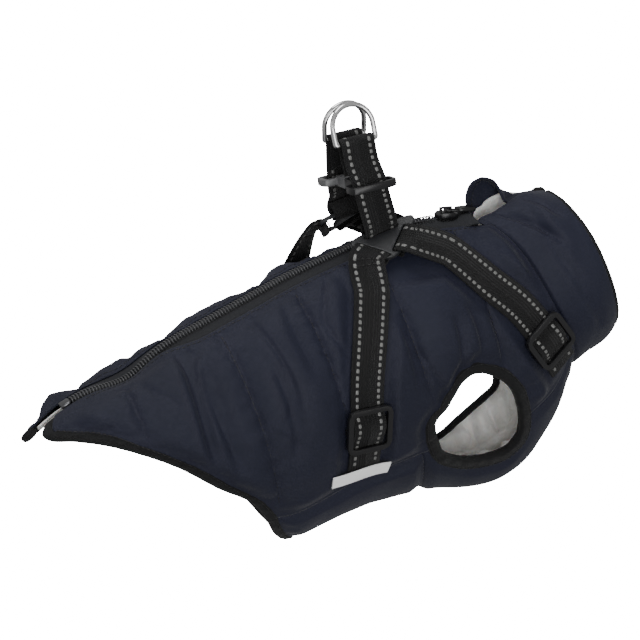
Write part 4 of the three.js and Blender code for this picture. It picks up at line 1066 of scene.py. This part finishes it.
# Straps
# The harness is black nylon webbing, 20 mm wide, with two rows of light grey reflective dashes
# woven in. Belly and chest straps lie on the cloth; lead straps stand up from plates to rings.
WEBBING, WEB_THICK = 20.0, 1.5
STRAP_LIFT = 2.9
TURN_RADIUS = 2.45
RING_WIRE = 1.5
LEADS = {1: (((-15, -16, 33), (-17, -15, 42), (-20.5, -12, 54)), (-22.5, -9, 64.5),
             (-25.5, -4, 85.5)),
         -1: (((-16, 19, 31), (-18.5, 15.5, 37.5), (-20.5, 12.5, 50)), (-21, 9, 63.5),
              (-24, 4, 84.5))}
RING_BAR = np.array([math.cos(math.radians(7)), 0, math.sin(math.radians(7))])
ADJUSTERS = {"belly": (-61, 96), "chest": (60.1, 92)}
DASH_ROWS = (-6.4, 6.4)
DASH_PITCH, DASH_LONG, DASH_WIDE = 3.7, 2.5, 1.9


def half_turn(bar, opening, first, radius, tail):
    """Middle line of a strap round a bar: it comes in on the side first, from the direction
    opening, turns half round the bar and leaves on the other side."""
    a = np.linspace(0, math.pi, 9)[:, None]
    rows = bar + first * radius * np.cos(a) - opening * radius * np.sin(a)
    start = [bar + opening * tail + first * radius] if tail > 0 else []
    return np.concatenate([np.array(start).reshape(-1, 3), rows])


def lay_on(kind, side):
    """Middle line and width direction of a strap on the cloth: its line lifted off the ground,
    higher where it passes the adjuster's middle bar and where it comes down from the plate."""
    rows = through(STRAP_LINES[kind, side], 6)
    share = np.linspace(0, 1, 23)
    step = np.linspace(0, 1, len(rows))
    p, a = (np.interp(share, step, rows[:, k]) for k in (0, 1))
    at, out = ground(p, side * a), outward(p, side * a)
    distance = np.linalg.norm(at - ground(ADJUSTERS[kind][0], side * ADJUSTERS[kind][1]), axis=1)
    lift = STRAP_LIFT + 2.5 * (1 - ease(2.5, 9, distance)) + 1.6 * (1 - ease(0, 0.16, share))
    return at + out * lift[:, None], unit(np.cross(out, np.gradient(at, axis=0)))


def strap_rings(rows, across, per, width=WEBBING, thick=WEB_THICK):
    """Rings of a strap's rounded flat section through its rows, with the finer middle line, width
    direction and outward direction."""
    middle = through(rows, per)
    across = np.array(across, float)
    for i in range(1, len(across)):
        if across[i] @ across[i - 1] < 0:
            across[i] = -across[i]
    share = np.linspace(0, len(rows) - 1, len(middle))
    wide = sampled(share, np.arange(len(rows)), across)
    along = unit(np.gradient(middle, axis=0))
    wide = unit(wide - along * np.sum(wide * along, axis=1, keepdims=True))
    up = np.cross(wide, along)
    x, z = (part[:, None] * size / 2 for part,
            size in zip(rounded_oblong(28, 0.25, 0.6), (width, thick)))
    return middle[:, None] + wide[:, None] * x + up[:, None] * z, middle, wide, up


def dashes(middle, wide, up, lift, ends):
    """Points and faces of the reflective dashes: small low cushions in two rows on a strap's face,
    lift mm off its middle, leaving out a stretch at each end."""
    run = run_length(middle, 0)
    start = np.arange(run[0] + ends[0], run[-1] - ends[1], DASH_PITCH)
    u = np.linspace(-1, 1, 6)
    v = np.linspace(-1, 1, 5)
    at = (start[:, None] + DASH_LONG / 2 * u[None, :]).ravel()
    centre, side_of, over = (sampled(at, run, rows) for rows in (middle, wide, up))
    low = 0.22 * (1 - u**4)[:, None] * (1 - v**4)[None, :]
    out_points, out_faces = [], []
    for row in DASH_ROWS:
        narrow = np.sqrt(1 - 0.45 * u**4)[:, None] * v[None, :] * DASH_WIDE / 2
        shift = np.tile(narrow, (len(start), 1)) + row
        rise = np.tile(low, (len(start), 1)) + abs(lift) - 0.05
        grid = (centre[:, None] + side_of[:, None] * shift[..., None]
                + over[:, None] * (np.sign(lift) * rise)[..., None])
        faces = grid_faces(6, 5)
        count = sum(len(g) for g in out_points)
        faces = faces[None] + (np.arange(len(start)) * 30)[:, None, None] + count
        out_points.append(grid.reshape(-1, 3))
        out_faces.append(faces.reshape(-1, 4) if lift < 0 else faces.reshape(-1, 4)[:, ::-1])
    return np.concatenate(out_points), np.concatenate(out_faces)


webbing = surface("black_webbing", (0.006, 0.006, 0.0065), 0.6, Specular_IOR_Level=0.25,
                  Sheen_Weight=0.04)
threads(grain(webbing, 1200, 0.0001), 1.1, 1.6, 0.0003)
reflective = surface("grey_reflective", (0.135, 0.136, 0.132), 0.45)
threads(reflective, 0.5, 0.5, 0.0001)
strap_paths = {}
strap_folds = []
for side, label in SIDES:
    lead_edge, chest_edge, belly_edge = plate_edges(PLATES[side])
    for kind, edge in (("belly", belly_edge), ("chest", chest_edge)):
        bar, along, out, up = edge
        start = half_turn(bar, out, -up, TURN_RADIUS, 2.5)
        leave = bar + up * TURN_RADIUS + out * 6
        body, across = lay_on(kind, side)
        rows = np.concatenate([start, leave[None], body])
        sides = np.concatenate([np.repeat(along[None], len(start) + 1, axis=0), across])
        strap_paths[kind, side] = (rows, sides, (9, 3))
    run, bar, crown = LEADS[side]
    bar = np.array(bar, float)
    crown = unit(np.array(crown, float) - bar)
    edge_bar, along, out, up = lead_edge
    low = half_turn(edge_bar, up, out, TURN_RADIUS, 7)
    outer = unit(np.cross(crown, RING_BAR))
    outer = outer if outer[1] * side < 0 else -outer
    high = half_turn(bar, -crown, outer, RING_WIRE + 0.35 + WEB_THICK / 2, 0)
    rows = np.concatenate([low, [low[-1] + up * 6], run, high, [high[-1] - crown * 17]])
    ring_way = RING_BAR * np.sign(along @ RING_BAR)
    mix = np.array([along * (1 - k / 4) + ring_way * k / 4 for k in (1, 2, 3)])
    sides = np.concatenate([np.repeat(along[None], len(low) + 1, axis=0), mix,
                            np.repeat(RING_BAR[None], len(high) + 1, axis=0)])
    strap_paths["lead", side] = (rows, sides, (16, 14))
for (kind, side), (rows, sides, ends) in strap_paths.items():
    label = "near" if side > 0 else "far"
    rings, middle, wide, up = strap_rings(rows, sides, 5)
    strap_folds.append((middle, wide, up, (20, 24) if kind == "lead" else (17, 20.5)))
    piece = hose(f"{kind}_webbing_{label}", rings)
    sewn(piece, webbing, "webbing", f"{kind}_strap_{label}")
    sets = [dashes(middle, wide, up, lift, ends) for lift in (WEB_THICK / 2, -WEB_THICK / 2)]
    points = np.concatenate([s[0] for s in sets])
    faces = np.concatenate([sets[0][1], sets[1][1] + len(sets[0][0])])
    sewn(mesh_piece(f"{kind}_dashes_{label}", points, faces), reflective, "webbing")

# Adjusters and buckle
# Each belly and chest strap passes a square black adjuster with a middle bar. A small black buckle
# holds the two lead straps together under the rings. Its far half is coloured grey as a painted
# highlight.
black_plastic = surface("black_plastic", (0.008, 0.008, 0.009), 0.36, Specular_IOR_Level=0.4)
grain(black_plastic, 1500, 0.00003)
# Grey plastic for the far buckle half is a painted highlight: lighter than the near half's black,
# standing in for the highlights on it.
grey_plastic = surface("grey_plastic", (0.10, 0.102, 0.105), 0.4)
grain(grey_plastic, 1500, 0.00003)
for label in ("near", "far"):
    for kind in ("belly", "chest"):
        softened(f"{kind}_slider_{label}", f"{kind}_adjuster_{label}", 0.6, black_plastic,
                 "plastic")
softened("buckle_near", "keeper_near", 0.7, black_plastic, "plastic")
# The far half takes the grey: a painted highlight.
softened("buckle_far", "keeper_far", 0.7, grey_plastic, "grey_plastic")

# D-rings
# Two D-rings of bright bent steel wire hang in the folded tops of the lead straps.
RING_HALF, RING_LEG, RING_BEND = 12.0, 8.5, 1.2
steel = surface("bright_steel", (0.62, 0.62, 0.62), 0.2, Metallic=1.0)
grain(steel, 500, 0.00002)
for side, label in SIDES:
    _, bar, crown = LEADS[side]
    bar = np.array(bar, float)
    up = np.array(crown, float) - bar
    up = unit(up - RING_BAR * (up @ RING_BAR))
    corner = np.linspace(0, math.pi / 2, 7)[1:-1]
    arch = np.linspace(0, math.pi, 41)
    r = RING_BEND
    flat = np.concatenate([
        np.stack([np.linspace(-RING_HALF + r, RING_HALF - r, 20), np.zeros(20)], -1),
        np.stack([RING_HALF - r + r * np.sin(corner), r - r * np.cos(corner)], -1),
        np.stack([RING_HALF * np.cos(arch), RING_LEG + RING_HALF * np.sin(arch)], -1),
        np.stack([-RING_HALF + r - r * np.cos(corner), r - r * np.sin(corner)], -1)])
    path = bar + flat[:, :1] * RING_BAR + flat[:, 1:] * up
    normal = np.cross(RING_BAR, up)
    along = unit(np.roll(path, -1, axis=0) - np.roll(path, 1, axis=0))
    side_of = np.cross(along, normal)
    a = np.linspace(0, 2 * math.pi, 16, endpoint=False)
    rings = path[:, None] + RING_WIRE * (side_of[:, None] * np.cos(a)[:, None]
                                         + normal * np.sin(a)[:, None])
    sewn(hose(f"d_ring_{label}", rings, loop=True), steel, "steel", f"ring_{label}",
         body=f"ring_{label}")

# Care label
# A folded tab of white satin tape is sewn in at the side seam. It is left blank.
satin = surface("white_satin", (0.93, 0.93, 0.93), 0.45, Sheen_Weight=0.4)
threads(satin, 0.6, 0.6, 0.00006)
share = np.linspace(0, 1, 24)
places = -89 + 35 * share
down = 114.2 + 7.2 * share
lift = 4.7 + 0.25 * np.sin(share * 5)
rows = lifted(places, down, lift)
across = unit(ground(places, down + 1) - ground(places, down - 1))
rings, _, _, _ = strap_rings(rows, across, 2, 8.0, 1.0)
sewn(hose("care_tab", rings), satin, "label", "care_label")

# Sewing
# Black polyester thread shows as short stitches: along the quilting lines, beside the zip, at the
# far collar's free edge, on every binding, and across each strap where it is folded back.
STITCH_PITCH, STITCH_LONG, THREAD = 3.1, 2.3, 0.2
thread = surface("black_thread", (0.006, 0.006, 0.007), 0.5)
grain(thread, 3000, 0.00004)
stitch_paths = []


def stitched(line, out, offset=0.0):
    """Adds a row of stitches along a line of points: each is a short rod that rises over the cloth
    by a thread and dips in at its ends."""
    run = run_length(line, 0)
    start = np.arange(run[0] + offset, run[-1] - STITCH_LONG, STITCH_PITCH)
    u = np.linspace(0, 1, 5)
    at = start[:, None] + STITCH_LONG * u
    place, over = (sampled(at, run, rows) for rows in (line, out))
    stitch_paths.append(place + over * (0.26 * np.sin(math.pi * u) - 0.08)[:, None])


def stitched_on(p, angle, height):
    """Adds a row of stitches along places and angles at a height over the ground surface."""
    stitched(lifted(p, angle, height), outward(p, angle))


for side in (1, -1):
    for at_zip in QUILT_LINES[side][2 if side > 0 else 1:-1]:
        a = np.linspace(20, 118, 400)
        p = at_zip - QUILT_LEAN * a
        on = (~in_armhole(p, side * a) & (p > band(side * a) + 2) & (p < collar_seam(a) - 2)
              & (distance_to(ground(p, side * a), arm_edges[side]) > 22) & (a > zip_edge(p) + 4)
              & (a < side_seam(p) - 3))
        for kind in STRAP_ENDS:
            on &= distance_to(ground(p, side * a), strap_grounds[kind, side]) > 12
        cuts = np.nonzero(np.diff(np.concatenate([[0], on.astype(int), [0]])))[0]
        for first, last in zip(cuts[::2], cuts[1::2]):
            if last - first > 12:
                pp, aa = p[first:last], side * a[first:last]
                stitched_on(pp, aa, side_height(pp, aa, side))
    p = np.linspace(-190, 52, 500)
    a = side * (zip_edge(p, side) + np.degrees(2.6 / half_width(p)))
    stitched_on(p, a, side_height(p, a, side))
    a = side * np.linspace(24, 125, 700)
    stitched_on(band(a) - 1.6, a, 0 * a + 1.0)
    points, away, out, _ = arm_frame(side, 300)
    stitched(points + away * (ARMHOLE_BAND[side] - 1.3) + out * 1.62, out)
a = np.linspace(130, 230, 400)
stitched_on(band(a) - 1.6, a, 0 * a + 1.0)
a = np.linspace(8, 352, 900)
stitched_on(rim(a) - 2.1, a, 0 * a + 1.15)
p = np.linspace(58, 90, 160)
inner = collar_points(p, -collar_edge(p) - 3.2, 0)
facing = unit(np.cross(np.gradient(inner, axis=0),
                       collar_points(p, -collar_edge(p) - 4.2, 0) - inner))
facing = facing * np.sign(facing[len(p) // 3, 1]) * -1
stitched(inner + facing * SHELL_THICK, facing)
for middle, wide, up, places in strap_folds:
    run = run_length(middle, 0)
    for at in places:
        m, w, u = (sampled(at, run, rows) for rows in (middle, wide, up))
        width = np.linspace(-8.6, 8.6, 30)[:, None]
        for face in (1, -1):
            stitched(m + w * width + face * u * (WEB_THICK / 2 + 0.05),
                     np.repeat(face * u[None], 30, axis=0))
points, faces = rods(np.concatenate(stitch_paths), THREAD, count=5)
sewn(mesh_piece("stitches", points, faces), thread, "binding")

# The floor and the light
# A pale studio floor lies below the coat. Broad soft lamps light the coat from above, from the left
# and, lower down, from the front, with a bright surround that is darker below.
floor_mesh = bpy.data.meshes.new("floor")
reach, floor_level = 9.0, -0.45
floor_mesh.from_pydata([(-reach, -reach, floor_level), (reach, -reach, floor_level),
                        (reach, reach, floor_level), (-reach, reach, floor_level)], [],
                       [(0, 1, 2, 3)])
floor = placed("floor", floor_mesh)
pale = surface("pale_floor", (0.9, 0.9, 0.9), 0.9, Emission_Color=(1, 1, 1, 1),
               Emission_Strength=26.0)
floor.data.materials.append(pale)
floor.visible_diffuse = False
floor.visible_glossy = False


def lamp(name, place, target, size, power):
    """Square soft lamp at a place, turned to face a target."""
    data = bpy.data.lights.new(name, "AREA")
    data.size = size
    data.energy = power
    lit = placed(name, data)
    lit.location = place
    lit.rotation_euler = (Vector(target) - Vector(place)).to_track_quat("-Z", "Y").to_euler()


centre = (-0.04, 0, -0.03)
lamp("top", (-0.45, -0.1, 1.5), centre, 0.8, 15)
lamp("left", (-1.6, -1.0, 0.6), centre, 0.7, 2.5)
lamp("front", (-0.3, -1.7, -0.15), centre, 1.2, 22)
world = bpy.data.worlds.new("surround")
bpy.context.scene.world = world
world.use_nodes = True
sky = world.node_tree.nodes["Background"]
sky.inputs["Strength"].default_value = 0.5
facing_up, split, shade = (add_node(world, kind)
                           for kind in ("TexCoord", "SeparateXYZ", "ValToRGB"))
darker, brighter = shade.color_ramp.elements
darker.position, brighter.position = 0.0, 0.5
darker.color, brighter.color = (0.6, 0.6, 0.6, 1), (1, 1, 1, 1)
lift = add_node(world, "MapRange")
lift.inputs["From Min"].default_value = -1
join(world, facing_up.outputs["Generated"], split.inputs["Vector"])
join(world, split.outputs["Z"], lift.inputs["Value"])
join(world, lift.outputs["Result"], shade.inputs["Fac"])
join(world, shade.outputs["Color"], sky.inputs["Color"])
